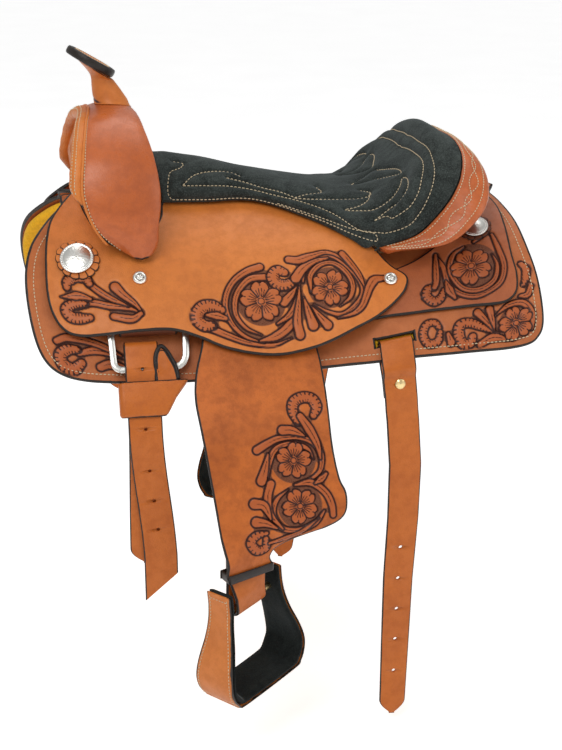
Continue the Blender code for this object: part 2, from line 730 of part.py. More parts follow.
def make_seat():
    """Quilted pad, the ground seat under it, the cantle wood and its back leather."""
    count_u, count_v = SEAT_GRID
    grid, normal = seat_grid(count_u, count_v)
    v = np.linspace(-1.0, 1.0, count_v)[None, :]
    u = np.linspace(0.0, 1.0, count_u)[:, None]
    inside = smooth((1.0 - np.abs(v)) / 0.22) * smooth(u / 0.05) * smooth((1.0 - u) / 0.40)
    thick = PAD_EDGE_T + (PAD_T - PAD_EDGE_T) * inside
    top = grid - normal * channel(grid)[..., None] * inside[..., None]
    shell_between("seat_pad", top, grid - normal * thick[..., None], "suede")

    under = PAD_T + GAP

    def layer(name, upper, lower, u_range, v_edge, colour):
        """Part of a layer under the pad. Each column shifts one way, so it cannot fold over."""
        rows = slice(round(u_range[0] * (count_u - 1)), round(u_range[1] * (count_u - 1)) + 1)
        columns = slice(round(v_edge * (count_v - 1)), round((1 - v_edge) * (count_v - 1)) + 1)
        base, normals = grid[rows, columns], normal[rows, columns]
        way = normals.mean(0)
        way = way / np.linalg.norm(way, axis=1, keepdims=True)
        lean = np.clip((normals * way).sum(2, keepdims=True), 0.75, 1.0)
        shell_between(name, base - way * upper / lean, base - way * lower / lean, colour)
    layer("ground_seat", under, under + GROUND_SEAT_T, (0.04, 0.58), 0.25, "steel")
    layer("tree_cantle", under, under + CANTLE_WOOD_T, (0.62, 0.88), 0.20, "wood")
    back = under + CANTLE_WOOD_T + GAP
    layer("cantle_back", back, back + COVER_T, (0.66, 0.88), 0.16, "leather")


def make_roll():
    """Rolled leather round the cantle, from the pad's edge outwards and down."""
    grid, normal = seat_grid(*SEAT_GRID)
    outer = lifted(ROLL_EDGE)
    outer = np.concatenate([(outer[::-1] * np.array([1.0, -1.0, 1.0]))[:-1], outer])
    outer = spline_rows(outer, SEAT_GRID[1])
    rings = []
    for a, n, b in zip(grid[-1], normal[-1], outer):
        a, n, b = Vector(a), Vector(n), Vector(b)
        outward = (b - a - n * (b - a).dot(n)).normalized()
        start = a + outward * 2.0 * GAP
        near, far = start.lerp(b, 0.3), start.lerp(b, 0.72)
        rings.append([start, near + n * 1.5 * MM, far + n * 1.5 * MM, b - n * MM, b - n * (ROLL_T - MM),
                      far - n * (ROLL_T - 1.5 * MM), near - n * (ROLL_T - 1.5 * MM),
                      start - n * (ROLL_T - 2 * MM)])
    loft("cheyenne_roll", rings, "leather")


def fender_frame(side):
    """Hanging point and the three directions of a fender: aft, down and outward.

    The off fender rests with a slight lean to the rear.
    """
    spot = Vector(barrel(FENDER_X, 0.115, FENDER_RISE, side))
    slope = math.radians(FENDER_SLOPE)
    outward = Vector((0.0, side * math.sin(slope), math.cos(slope)))
    aft = (Vector((1.0, 0.0, 0.0)) + outward * FENDER_YAW).normalized()
    down = Vector((0.0, side * math.cos(slope), -math.sin(slope)))
    outward = (outward - aft * outward.dot(aft)).normalized()
    lean = math.radians(OFF_LEAN) if side > 0 else 0.0
    aft, down = (aft * math.cos(lean) - down * math.sin(lean),
                 down * math.cos(lean) + aft * math.sin(lean))
    return spot, aft, down, outward


def fender_line(q):
    """Run outwards, drop and slope of a fender's middle line at q, summed along it."""
    steps = np.linspace(0.0, q, 64)
    angles = np.radians(np.interp(steps / MM / FENDER_STRETCH, *zip(*FENDER_BENDS)))
    return np.trapz(np.cos(angles), steps), np.trapz(np.sin(angles), steps), float(angles[-1])


def fender_point(p, q, off, side):
    """Point p aft and q down a fender, off its inner face. The neck turns to face forward."""
    spot, aft, down, outward = fender_frame(side)
    slope = math.radians(FENDER_SLOPE)
    level = down * math.cos(slope) + outward * math.sin(slope)
    sink = down * math.sin(slope) - outward * math.cos(slope)
    run, drop, angle = fender_line(q)
    normal = level * math.sin(angle) - sink * math.cos(angle)
    turn = math.radians(float(np.interp(q / MM / FENDER_STRETCH, *zip(*NECK_TURN))))
    across = aft * math.cos(turn) - normal * math.sin(turn)
    face = normal * math.cos(turn) + aft * math.sin(turn)
    middle = spot + aft * NECK_X + level * run + sink * drop
    return middle + across * (p - NECK_X) + face * off


def make_fender(side):
    """Fender, stirrup leather with its loop round the bolt, and the keeper at the neck."""
    def place(p, q, height):
        return fender_point(p, q, height, side)
    outline = [(p, q * FENDER_STRETCH) for p, q in millimetres(FENDER_OUTLINE)]
    rows = [q * FENDER_STRETCH for q in FENDER_ROWS]
    sheet(side_name("fender", side), outline, 0.0, FENDER_T, place, "leather", (45 * MM, rows))
    outer_layer = -GAP - 0.5 * MM - STRAP_T / 2.0
    inner_layer = outer_layer - STRAP_T - 1.0 * MM
    turn_start = KEEPER_TOP + KEEPER_H - 1 * MM
    bolt, axis = stirrup_bolt_place(side), stirrup_axis(side)
    bend_r = BOLT_R + 1.0 * MM + STRAP_T / 2.0
    face = axis.cross(Vector((0.0, 0.0, 1.0))).normalized()
    if face.y * side < 0.0:
        face = -face
    below = face.cross(axis).normalized()
    if below.z > 0.0:
        below = -below
    path, across = [], []

    def lay(q, layer):
        lean = float(smooth((q - 90 * MM) / (160 * MM))) * NECK_X
        path.append(fender_point(lean, q, layer, side))
        across.append(fender_point(lean + MM, q, layer, side) - fender_point(lean, q, layer, side))

    def turn_to_bolt(layer, way, shares):
        """Rings between the keeper and the bolt, over which the strap turns further."""
        start = fender_point(NECK_X, turn_start, layer, side)
        flat = (fender_point(NECK_X + MM, turn_start, layer, side) - start).normalized()
        end = bolt - below * 12.0 * MM + face * way * bend_r
        for share in shares:
            path.append(start.lerp(end, share))
            across.append(flat.lerp(axis, share))
    for q in (40, 90, 130, 165, 180, 195, 210, 225):
        lay(q * MM * FENDER_STRETCH, outer_layer)
    for rise in (-45, -37.5, -30, -22.5, -15, -7.5, 0, 6):
        lay(KEEPER_TOP + rise * MM, inner_layer)
    turn_to_bolt(inner_layer, -1.0, (0.0, 0.33, 0.67, 1.0))
    for angle in (-90, -60, -30, 0, 30, 60, 90):
        a = math.radians(angle)
        path.append(bolt + face * bend_r * math.sin(a) + below * bend_r * math.cos(a))
        across.append(axis)
    turn_to_bolt(outer_layer, 1.0, (1.0, 0.67, 0.33, 0.0))
    lay(KEEPER_TOP + 6 * MM, outer_layer)
    lay(KEEPER_TOP + 1 * MM, outer_layer)
    ribbon(side_name("stirrup_leather", side), path, LEATHER_W, across, STRAP_T, "dark_leather")
    make_keeper(side, inner_layer)


def make_keeper(side, inner_layer):
    """Band round the neck of the fender and both layers of the stirrup leather."""
    low = inner_layer - STRAP_T / 2.0 - 1.0 * MM
    high = FENDER_T + FINE_GAP
    half = max(NECK_W, LEATHER_W) / 2.0 + GAP
    rings = []
    for q in (KEEPER_TOP, KEEPER_TOP + KEEPER_H):
        ring_in = [(-half, low), (half, low), (half, high), (-half, high)]
        ring_out = [(-half - KEEPER_T, low - KEEPER_T), (half + KEEPER_T, low - KEEPER_T),
                    (half + KEEPER_T, high + KEEPER_T), (-half - KEEPER_T, high + KEEPER_T)]
        rings.append(([fender_point(NECK_X + p, q, h, side) for p, h in ring_out],
                      [fender_point(NECK_X + p, q, h, side) for p, h in ring_in]))
    order = [rings[0][0], rings[1][0], rings[1][1], rings[0][1]]
    loft(side_name("keeper", side), order, "dark_leather", closed=True)


def stirrup_bolt_place(side):
    """Middle of the stirrup bolt, below the neck of the fender."""
    return fender_point(NECK_X, BOLT_DROP, -GAP - STRAP_T - FINE_GAP / 2.0, side)


def stirrup_axis(side):
    """Direction of the stirrup bolt, along the turned neck, its aft end a little raised."""
    spot = fender_point(NECK_X, BOLT_DROP, 0.0, side)
    along = fender_point(NECK_X + MM, BOLT_DROP, 0.0, side) - spot
    roll = math.radians(STIRRUP_ROLL)
    turn = math.atan2(along.y, along.x) - side * math.radians(STIRRUP_TURN)
    return Vector((math.cos(turn) * math.cos(roll), math.sin(turn) * math.cos(roll), math.sin(roll)))


def stirrup_outline(inset):
    """Bell outline of the stirrup as sideways s and drop z, moved inwards by an inset."""
    top, wide = STIRRUP_TOP_W / 2.0 - inset, STIRRUP_W / 2.0 - inset
    low = STIRRUP_H - inset
    grow = wide - top
    half = [(top, 0.0), (top, 0.12 * STIRRUP_H), (top + 0.12 * grow, 0.25 * STIRRUP_H),
            (top + 0.38 * grow, 0.42 * STIRRUP_H), (top + 0.72 * grow, 0.57 * STIRRUP_H),
            (wide - 1 * MM, 0.70 * STIRRUP_H), (wide, 0.80 * STIRRUP_H), (wide - 3 * MM, low - 12 * MM),
            (wide - 9 * MM, low - 4 * MM), (wide - 19 * MM, low)]
    return [(-s, z) for s, z in half] + [(s, z) for s, z in half[::-1]]


def stirrup_band(side, name, outer, inner, colour):
    """U shaped band of the stirrup between two insets of its outline."""
    bolt = stirrup_bolt_place(side)
    axis = stirrup_axis(side)
    deep = axis.cross(Vector((0.0, 0.0, 1.0))).normalized()
    rise = deep.cross(axis)
    top = bolt + rise * STIRRUP_RISE
    rings = []
    for (so, zo), (si, zi) in zip(stirrup_outline(outer), stirrup_outline(inner)):
        share = smooth((zo / STIRRUP_H - 0.2) / 0.6)
        half = (STIRRUP_TOP_DEPTH + (STIRRUP_DEPTH - STIRRUP_TOP_DEPTH) * share) / 2.0
        a = top + axis * so - rise * zo
        b = top + axis * si - rise * zi
        rings.append([a - deep * half, a + deep * half, b + deep * half, b - deep * half])
    return loft(side_name(name, side), rings, colour, round_angle=30.0)


def make_stirrup(side):
    """Stirrup: tan leather outside, suede-lined frame inside, and the cross bolt."""
    stirrup_band(side, "stirrup_cover", 0.0, STIRRUP_COVER_T, "leather")
    start = STIRRUP_COVER_T + FINE_GAP
    frame = stirrup_band(side, "stirrup_frame", start, start + STIRRUP_FRAME_T, "suede")
    bolt = stirrup_bolt_place(side)
    axis = stirrup_axis(side)
    reach = STIRRUP_TOP_W / 2.0 - start - 1.6 * MM
    rod = [(0.0, -reach), (BOLT_R, -reach), (BOLT_R, reach), (0.0, reach)]
    turned(side_name("stirrup_bolt", side), rod, bolt, axis, "steel", 12)
    hole = [(0.0, -reach - 1 * MM), (BOLT_R + 0.5 * MM, -reach - 1 * MM),
            (BOLT_R + 0.5 * MM, reach + 1 * MM), (0.0, reach + 1 * MM)]
    cut(frame, turned(side_name("bolt_hole", side), hole, bolt, axis, "steel", 12))


def strap_frame(x, d, side):
    """Level direction, direction down and outward normal on the barrel, and its skew in x."""
    step = MM
    here = Vector(barrel(x, d, 0.0, side))
    along = (Vector(barrel(x + step, d, 0.0, side)) - here) / step
    below = (Vector(barrel(x, d + step, 0.0, side)) - here) / step
    normal = along.cross(below).normalized()
    if normal.z < 0.0:
        normal = -normal
    level = normal.cross(Vector((0.0, 0.0, 1.0))).normalized()
    if level.x < 0.0:
        level = -level
    down = normal.cross(level).normalized()
    if down.z > 0.0:
        down = -down
    return level, down, normal, -below.dot(level) / along.dot(level)


def dee_place(side):
    """Middle of the dee's top bar, its level direction, direction down and outward normal."""
    rise = GAP + STRAP_T + DEE_BAR_W / 2.0 + 1.0 * MM
    spot = Vector(barrel(DEE_X, DEE_D, rise, side))
    level, down, normal, skew = strap_frame(DEE_X, DEE_D + DEE_H * 0.6, side)
    return spot, level, down, normal


def make_dee(side):
    """Flat dee ring that hangs from the rigging strap under the jockey."""
    spot, aft, down, normal = dee_place(side)

    def corners():
        points = [(-DEE_TOP_W / 2.0, 0.0), (DEE_TOP_W / 2.0, 0.0), (DEE_BOTTOM_W / 2.0, DEE_H),
                  (-DEE_BOTTOM_W / 2.0, DEE_H)]
        out = []
        for i, point in enumerate(points):
            corner = DEE_CORNERS[i]
            before, after = Vector(points[i - 1]), Vector(points[(i + 1) % 4])
            here = Vector(point)
            a = here + (before - here).normalized() * corner
            b = here + (after - here).normalized() * corner
            for t in (0.0, 0.25, 0.5, 0.75, 1.0):
                out.append((1 - t) ** 2 * a + 2 * t * (1 - t) * here + t * t * b)
        return out
    line = corners()
    rings = []
    for i, point in enumerate(line):
        ahead = (line[(i + 1) % len(line)] - line[i - 1]).normalized()
        out = Vector((ahead.y, -ahead.x))
        base = spot + aft * point.x + down * point.y
        out3 = aft * out.x + down * out.y
        w, t = DEE_BAR_W / 2.0, DEE_BAR_T / 2.0
        rings.append([base + out3 * a + normal * b for a, b in (
            (-w, -t * 0.5), (-w * 0.7, -t), (w * 0.7, -t), (w, -t * 0.5), (w, t * 0.5),
            (w * 0.7, t), (-w * 0.7, t), (-w, t * 0.5))])
    loft(side_name("front_dee", side), rings, "nickel", closed=True)


def loop_radius():
    """Middle radius of a strap round a bar of the dee, roomy enough to turn."""
    return math.hypot(DEE_BAR_W, DEE_BAR_T) / 2.0 + FINE_GAP + STRAP_T / 2.0


def make_rigging(side):
    """Rigging strap from under the jockey, looped round the dee's top bar."""
    spot, aft, down, normal = dee_place(side)
    skew = strap_frame(DEE_X, DEE_D, side)[3]
    radius = loop_radius()
    path, across = [], []
    for d in (135 * MM, 155 * MM, 172 * MM):
        x = DEE_X + skew * (d - DEE_D)
        path.append(Vector(barrel(x, d, GAP + 0.4 * MM + STRAP_T / 2.0, side)))
        across.append(strap_frame(x, d, side)[0])
    for angle in (-80, -40, 0, 40, 80):
        a = math.radians(angle)
        path.append(spot + down * radius * math.cos(a) + normal * radius * math.sin(a))
    path.append(spot - down * 14 * MM + normal * radius * 0.9)
    across += [aft] * 6
    ribbon(side_name("rigging_strap", side), path, RIGGING_W, across, STRAP_T, "leather")


def hang_direction(side):
    """Direction in which a free strap hangs: straight down, a little outwards."""
    return Vector((0.0, side * 0.06, -1.0)).normalized()


def latigo_frame(t, side):
    """Point, direction and outward normal t below the dee: along the skirt, then hanging."""
    spot, aft, down, normal = dee_place(side)
    bar = spot + down * DEE_H + aft * (LATIGO_X if side < 0 else 0.0)
    hang = hang_direction(side)
    hang = (hang - aft * hang.dot(aft)).normalized()
    steps = np.linspace(0.0, t, 40)
    share = smooth((steps - LATIGO_BEND_FROM) / (LATIGO_BEND_TO - LATIGO_BEND_FROM))
    ways = np.array(down)[None] * (1.0 - share[:, None]) + np.array(hang)[None] * share[:, None]
    ways = ways / np.linalg.norm(ways, axis=1, keepdims=True)
    point = bar + Vector(np.trapz(ways, steps, axis=0))
    way = Vector(ways[-1])
    out = way.cross(aft).normalized()
    if out.y * side < 0.0:
        out = -out
    return point, way, out, aft


def strap_on_dee(name, side, length, back_length, leans, width):
    """Strap doubled round the dee's bottom bar, with a front and a rear strand."""
    radius = loop_radius()
    close = (STRAP_T + FINE_GAP) / 2.0
    path, widths = [], []

    def strand(t, share, lean):
        point, way, out, aft = latigo_frame(t, side)
        spread = close + (radius - close) * float(1.0 - smooth(t / (13 * MM)))
        path.append(point + out * spread * share + aft * lean * float(smooth((t - 60 * MM) / (150 * MM))))
        widths.append(width)
    places = [t * MM for t in (7, 13, 24, 36, 55, 75, 95, 130, 180)]
    behind = [t for t in places if t < back_length - 20 * MM]
    for t in [back_length, back_length - 14 * MM] + behind[::-1]:
        strand(t, -1.0, leans[0])
    widths[0] = width * 0.4
    point, way, out, aft = latigo_frame(0.0, side)
    for angle in (-80, -40, 0, 40, 80):
        a = math.radians(angle)
        path.append(point - way * radius * math.cos(a) + out * radius * math.sin(a))
        widths.append(width)
    ahead = [t for t in places if t < length - 20 * MM]
    for t in ahead + [length - 14 * MM, length]:
        strand(t, 1.0, leans[1])
    widths[-1] = width * 0.4
    return ribbon(name, path, widths, aft, STRAP_T, "leather")


def make_latigo(side):
    """Straps on the dee: a knotted latigo on the near side, a doubled billet on the off side."""
    if side < 0:
        strap_on_dee("latigo", side, LATIGO_LENGTH, LATIGO_BACK_LENGTH, (-3 * MM, 16 * MM), LATIGO_W)
        make_latigo_wrap(side)
        return
    strap = strap_on_dee("off_billet", side, OFF_BILLET_LENGTH, OFF_BILLET_BACK, (0.0, 0.0), LATIGO_W)
    point, way, out, aft = latigo_frame(36 * MM, side)
    hole = [(0.0, -9 * MM), (RIVET_SHANK_R + 0.4 * MM, -9 * MM), (RIVET_SHANK_R + 0.4 * MM, 9 * MM),
            (0.0, 9 * MM)]
    cut(strap, turned("off_billet_hole", hole, point, out, "steel", 10))
    make_rivet("off_billet_rivet", point, out, STRAP_T + FINE_GAP / 2.0 + 0.6 * MM)


def make_latigo_wrap(side):
    """Turn of the knot across both strands of the latigo, slanted at its rear edge."""
    half = LATIGO_WRAP_LEFT
    room = STRAP_T + FINE_GAP / 2.0 + FINE_GAP
    rings = []
    for i, rear in enumerate(LATIGO_WRAP_RIGHT):
        point, way, out, aft = latigo_frame(LATIGO_WRAP_TOP + LATIGO_WRAP_H * i / 2.0, side)
        inner = [(-half, -room), (rear, -room), (rear, room), (-half, room)]
        outer = [(-half - STRAP_T, -room - STRAP_T), (rear + STRAP_T, -room - STRAP_T),
                 (rear + STRAP_T, room + STRAP_T), (-half - STRAP_T, room + STRAP_T)]
        rings.append(([point + aft * a + out * b for a, b in outer],
                      [point + aft * a + out * b for a, b in inner]))
    order = [ring[0] for ring in rings] + [ring[1] for ring in rings[::-1]]
    loft("latigo_wrap", order, "leather", closed=True)


def make_rivet(name, middle, axis, reach):
    """Rivet with a head on each side of a strap."""
    head = 1.6 * MM
    rise = reach + 0.3 * MM
    profile = [(0.0, -rise - head), (RIVET_R * 0.7, -rise - head * 0.7), (RIVET_R, -rise),
               (RIVET_SHANK_R, -rise), (RIVET_SHANK_R, rise), (RIVET_R, rise),
               (RIVET_R * 0.7, rise + head * 0.7), (0.0, rise + head)]
    return turned(name, profile, middle, axis, "brass", 16)


def billet_hinge(side):
    """Point on the skirt's lower edge about which the rear billet swings."""
    return Vector(barrel(BILLET_X, BILLET_EDGE_D, -SKIRT_T / 2.0, side))


def make_billet(side):
    """Rear billet: its loop through the skirt's slot, and the strap that swings below."""
    reach = SKIRT_T / 2.0 + 1.0 * MM + STRAP_T / 2.0
    turn_d = SLOT_LOW_D + 1.0 * MM
    path = []

    def spot(d, off, x=BILLET_X):
        return Vector(barrel(x, d, off - SKIRT_T / 2.0, side))
    for d in (BILLET_EDGE_D + 1 * MM, turn_d + 8 * MM):
        path.append(spot(d, -reach))
    for angle in (-90, -60, -30, 0, 30, 60, 90):
        a = math.radians(angle)
        path.append(spot(turn_d - reach * math.cos(a), reach * math.sin(a)))
    for d in (turn_d + 8 * MM, BILLET_EDGE_D + 1 * MM):
        path.append(spot(d, reach))
    flat = (spot(SLOT_LOW_D, 0.0, BILLET_X + MM) - spot(SLOT_LOW_D, 0.0, BILLET_X - MM)).normalized()
    ribbon(side_name("rear_billet_loop", side), path, BILLET_W, flat, STRAP_T, "leather")
    down, normal = barrel_down(BILLET_X, BILLET_EDGE_D, side)
    hinge = billet_hinge(side)
    hang = hang_direction(side) if side < 0 else Vector((0.0, -0.03, -1.0)).normalized()
    thick = 2.0 * reach + STRAP_T
    start = hinge + down * 5.4 * MM
    aft = Vector((1.0, 0.0, 0.0))
    lean = OFF_BILLET_LEAN if side > 0 else 0.0
    length = BILLET_LENGTH - (OFF_BILLET_CUT if side > 0 else 0.0)
    path, thickness, widths = [], [], []

    def bow(t):
        return float(np.interp(t / MM, *zip(*BILLET_BOW))) * MM - lean * max(t - 24 * MM, 0.0)
    for t, depth in ((0.0, thick), (7 * MM, thick * 0.8), (12.5 * MM, 2 * STRAP_T),
                     (31 * MM, 2 * STRAP_T), (33 * MM, STRAP_T)):
        slant = down.lerp(hang, float(smooth(t / (12 * MM))))
        path.append(start + slant * t + aft * bow(t))
        thickness.append(depth)
        widths.append(BILLET_W)
    for t, wide in ((80 * MM, 1.0), (120 * MM, 0.99), (160 * MM, 0.98), (220 * MM, 0.94), (290 * MM, 0.9),
                    (length - 14 * MM, 0.82), (length, 0.42)):
        path.append(start + hang * t + aft * bow(t))
        thickness.append(STRAP_T)
        widths.append(BILLET_W * wide)
    across = [flat.lerp(aft, min(i / 4.0, 1.0)) for i in range(len(path))]
    strap = ribbon(side_name("rear_billet", side), path, widths, across, thickness, "leather")
    out = Vector((0.0, side, 0.0))
    rivet_at = start + hang * RIVET_DROP + aft * bow(RIVET_DROP)
    axis = out - hang * out.dot(hang)
    hole = [(0.0, -9 * MM), (RIVET_SHANK_R + 0.4 * MM, -9 * MM), (RIVET_SHANK_R + 0.4 * MM, 9 * MM),
            (0.0, 9 * MM)]
    cut(strap, turned(side_name("rivet_hole", side), hole, rivet_at, axis, "steel", 10))
    make_rivet(side_name("billet_rivet", side), rivet_at, axis, STRAP_T + 0.2 * MM)


def surface_frame(x, d, height, side):
    """Point and outward normal of a leather's outer face, from its slopes."""
    step = 12 * MM

    def at(a, b):
        return Vector(barrel(a, b, height(a, b), side))
    along = at(x + step, d) - at(x - step, d)
    downward = at(x, d + step) - at(x, d - step)
    normal = along.cross(downward).normalized()
    if normal.z < 0.0:
        normal = -normal
    return at(x, d), normal


def rosette(name, x, d, height, side):
    """Scalloped leather disc under a concho, lying on the leather below it."""
    count = ROSETTE_LOBES * 4
    bm = bmesh.new()
    middles, rings = [], []
    for rise in (0.8 * MM, 0.8 * MM + ROSETTE_T):
        ring = []
        for i in range(count):
            angle = 2.0 * math.pi * i / count
            radius = ROSETTE_R * (0.965 + 0.035 * math.cos(ROSETTE_LOBES * angle))
            a, b = x + radius * math.cos(angle), d + radius * math.sin(angle)
            ring.append(bm.verts.new(barrel(a, b, height(a, b) + rise, side)))
        rings.append(ring)
        middles.append(bm.verts.new(barrel(x, d, height(x, d) + rise, side)))
    for i in range(count):
        j = (i + 1) % count
        bm.faces.new((rings[0][i], rings[0][j], rings[1][j], rings[1][i]))
        for ring, middle in zip(rings, middles):
            bm.faces.new((ring[i], ring[j], middle))
    set_outward(bm)
    finish_mesh(name, bm, "dark_leather")


def concho(name, middle, normal, radius):
    """Domed nickel disc with a raised rim."""
    profile = [(0.0, 0.0), (radius * 0.97, 0.0), (radius, 0.8 * MM), (radius * 0.9, 1.6 * MM),
               (radius * 0.55, CONCHO_RISE * 0.8), (0.0, CONCHO_RISE)]
    turned(name, profile, middle, normal, "nickel", 24)


def screw(name, middle, normal):
    """Cup washer with its screw head."""
    profile = [(0.0, 0.0), (SCREW_R, 0.0), (SCREW_R, 0.8 * MM), (SCREW_R * 0.7, SCREW_H * 0.8),
               (SCREW_R * 0.3, SCREW_H), (0.0, SCREW_H)]
    turned(name, profile, middle, normal, "nickel", 16)


def make_ornaments(side):
    """Conchos, the front ones on scalloped rosettes, and the screws of the jockeys."""
    def rear_high(x, d):
        return rear_jockey_low(x, d) + JOCKEY_T
    rosette(side_name("rosette_front", side), -0.188, 0.120, jockey_high, side)
    spot, normal = surface_frame(-0.188, 0.120, jockey_high, side)
    lift = 0.8 * MM + ROSETTE_T + 1.6 * MM
    concho(side_name("concho_front", side), spot + normal * lift, normal, CONCHO_R)
    spot, normal = surface_frame(0.246, 0.109, rear_high, side)
    concho(side_name("concho_rear", side), spot + normal * 1.4 * MM, normal, REAR_CONCHO_R)
    for place, x, d, lift in (("front", -0.126, 0.139, 0.6 * MM), ("rear", 0.141, 0.154, 1.6 * MM)):
        spot, normal = surface_frame(x, d, jockey_high, side)
        screw(side_name("screw_" + place, side), spot + normal * lift, normal)


def main():
    """Build every piece of the saddle."""
    clear_scene()
    swell = make_fork()
    make_horn(swell)
    make_seat()
    make_roll()
    for side in (-1, 1):
        make_skirts(side)
        make_bar(side)
        make_jockeys(side)
        make_fender(side)
        make_stirrup(side)
        make_dee(side)
        make_rigging(side)
        make_latigo(side)
        make_billet(side)
        make_ornaments(side)


if __name__ == "__main__":
    main()
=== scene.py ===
"""Looks of a western pony saddle, laid round its packed frame.

Leather sheets are flat patterns bent over the saddle's own surfaces, carved where they are
tooled, and stitched. The layout is a Blender add-on that is run as a script.
"""
import math

import bpy
import numpy as np
from bpy.props import FloatProperty, FloatVectorProperty, PointerProperty
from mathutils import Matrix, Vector


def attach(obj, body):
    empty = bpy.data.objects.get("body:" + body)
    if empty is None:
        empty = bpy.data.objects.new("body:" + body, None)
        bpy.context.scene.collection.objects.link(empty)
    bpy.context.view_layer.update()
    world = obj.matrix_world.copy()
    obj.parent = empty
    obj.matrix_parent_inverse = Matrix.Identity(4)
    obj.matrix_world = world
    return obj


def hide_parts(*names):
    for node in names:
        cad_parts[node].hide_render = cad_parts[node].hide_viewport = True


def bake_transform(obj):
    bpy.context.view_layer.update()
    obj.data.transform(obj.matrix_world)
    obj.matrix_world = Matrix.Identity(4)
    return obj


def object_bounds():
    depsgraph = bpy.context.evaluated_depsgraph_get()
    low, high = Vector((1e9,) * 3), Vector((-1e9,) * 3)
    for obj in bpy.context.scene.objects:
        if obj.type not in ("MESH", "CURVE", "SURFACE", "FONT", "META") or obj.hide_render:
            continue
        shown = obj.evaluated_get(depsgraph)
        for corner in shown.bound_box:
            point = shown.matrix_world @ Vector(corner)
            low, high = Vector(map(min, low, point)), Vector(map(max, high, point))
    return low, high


bl_info = {
    "name": "Western Pony Saddle", "version": (1, 0, 0), "blender": (4, 5, 0),
    "location": "View3D > Sidebar > Saddle",
    "description": "Builds the leather, stitching, tooling and metal of a western pony saddle",
    "category": "Add Mesh"}

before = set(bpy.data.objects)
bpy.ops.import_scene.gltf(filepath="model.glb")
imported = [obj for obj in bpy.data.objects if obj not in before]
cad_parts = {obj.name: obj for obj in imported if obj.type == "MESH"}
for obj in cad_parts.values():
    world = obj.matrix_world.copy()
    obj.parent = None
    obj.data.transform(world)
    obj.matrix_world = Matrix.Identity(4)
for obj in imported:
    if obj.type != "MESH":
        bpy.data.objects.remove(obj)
CAD_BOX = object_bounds()
SIDES = ((-1, "near"), (1, "off"))

MM = 0.001
SKIRT_T, FLEECE_T, JOCKEY_T, FENDER_T, STRAP_T = 4.5 * MM, 12.0 * MM, 4.0 * MM, 3.5 * MM, 3.5 * MM
GAP = 1.2 * MM
SPINE_RISE = SKIRT_T + GAP + FLEECE_T
JOCKEY_RISE, JOCKEY_FRONT_RISE = 20.5 * MM, 2.5 * MM
BAR_T, BAR_EDGE_T = 13.0 * MM, 4.0 * MM
FENDER_X, FENDER_RISE, FENDER_SLOPE, FENDER_YAW, NECK_X = -15.0 * MM, 17.0 * MM, 51.0, 0.02, -22.0 * MM
FENDER_BENDS = [(0, 51), (165, 51), (225, 74), (285, 76), (335, 95), (420, 95)]
NECK_TURN = [(283, 0), (295, 3), (315, 21), (322.5, 25), (420, 25)]
OFF_LEAN = 12.5
DEE_X, DEE_D, DEE_DEEP = -0.121, 0.187, 43.0 * MM
FRONT_CONCHO, REAR_CONCHO = (-0.188, 0.120), (0.246, 0.109)
STIRRUP_TALL = 123.0 * MM
BILLET_X, SLOT_TURN_D, SKIRT_EDGE_D = 0.138, 0.2235, 0.2415
LEATHER_WIDE, RIGGING_WIDE, LATIGO_WIDE, BILLET_WIDE = 45.0 * MM, 60.0 * MM, 35.0 * MM, 36.0 * MM
HORN_TILT, HORN_CAP_X, HORN_CAP_Z, HORN_CAP_ROUND = 30.0, -0.1573, 0.1663, 28.5
BOLT_DOWN = 371.0 * MM
OUTER_LAYER = -GAP - 0.5 * MM - STRAP_T / 2.0
INNER_LAYER = OUTER_LAYER - STRAP_T - 1.0 * MM
DEE_TURN = math.hypot(7.0, 3.5) / 2.0 * MM + 0.5 * MM + STRAP_T / 2.0


def smooth(t):
    """Smooth step from 0 to 1: 3t² − 2t³, held at its ends."""
    t = np.clip(t, 0.0, 1.0)
    return t * t * (3.0 - 2.0 * t)


def slopes(x):
    """Slope of the section at the spine and 245 mm down, growing evenly from front to rear."""
    t = np.clip((x + 0.200) / 0.420, -0.3, 1.3)
    return np.radians(28.0 - 20.0 * t), np.radians(66.0 - 6.0 * t)


def barrel(x, d, off=0.0, side=1):
    """Point x along the back and d down an arc whose slope grows evenly, raised by off."""
    x, d, off = (np.asarray(v, float) for v in (x, d, off))
    top, low = slopes(x)
    bend = (low - top) / 0.245
    slope = top + bend * d
    run = x - 0.050
    spine = np.where(run < 0.0, 0.55, 0.40) * run * run + SPINE_RISE
    y = (np.sin(slope) - np.sin(top)) / bend + off * np.sin(slope)
    z = spine - (np.cos(top) - np.cos(slope)) / bend + off * np.cos(slope)
    return np.stack([x + 0.0 * y, side * y, z], -1)


def over_bar(x, d):
    """1 over a bar of the tree, falling to 0 beside it."""
    along = smooth((x + 0.190) / 0.025) * smooth((0.228 - x) / 0.025)
    return along * smooth((d - 0.005) / 0.03) * smooth((0.140 - d) / 0.03)


def bar_top(x, d):
    """Height of the bar's upper face: crowned in the middle, thin at its rim."""
    crown = smooth((d - 0.034) / 0.03) * smooth((0.112 - d) / 0.03)
    crown = crown * smooth((x + 0.185) / 0.05) * smooth((0.225 - x) / 0.06)
    return GAP + BAR_EDGE_T + (BAR_T - BAR_EDGE_T) * crown


def rear_jockey_low(x, d):
    """Inner face of the rear jockey: on the skirt, and over the end of the bar."""
    return GAP + over_bar(x, d) * bar_top(x, d)


def jockey_low(x, d):
    """Inner face of the seat jockey, high over bar and fender and low at its ends."""
    front = smooth((-0.130 - x) / 0.095)
    rear = smooth((x - 0.085) / 0.055) * smooth((d - 0.095) / 0.035)
    over_rear = rear_jockey_low(x, d) + JOCKEY_T + GAP
    rise = JOCKEY_RISE + (JOCKEY_FRONT_RISE - JOCKEY_RISE) * front
    return rise + (over_rear - rise) * rear


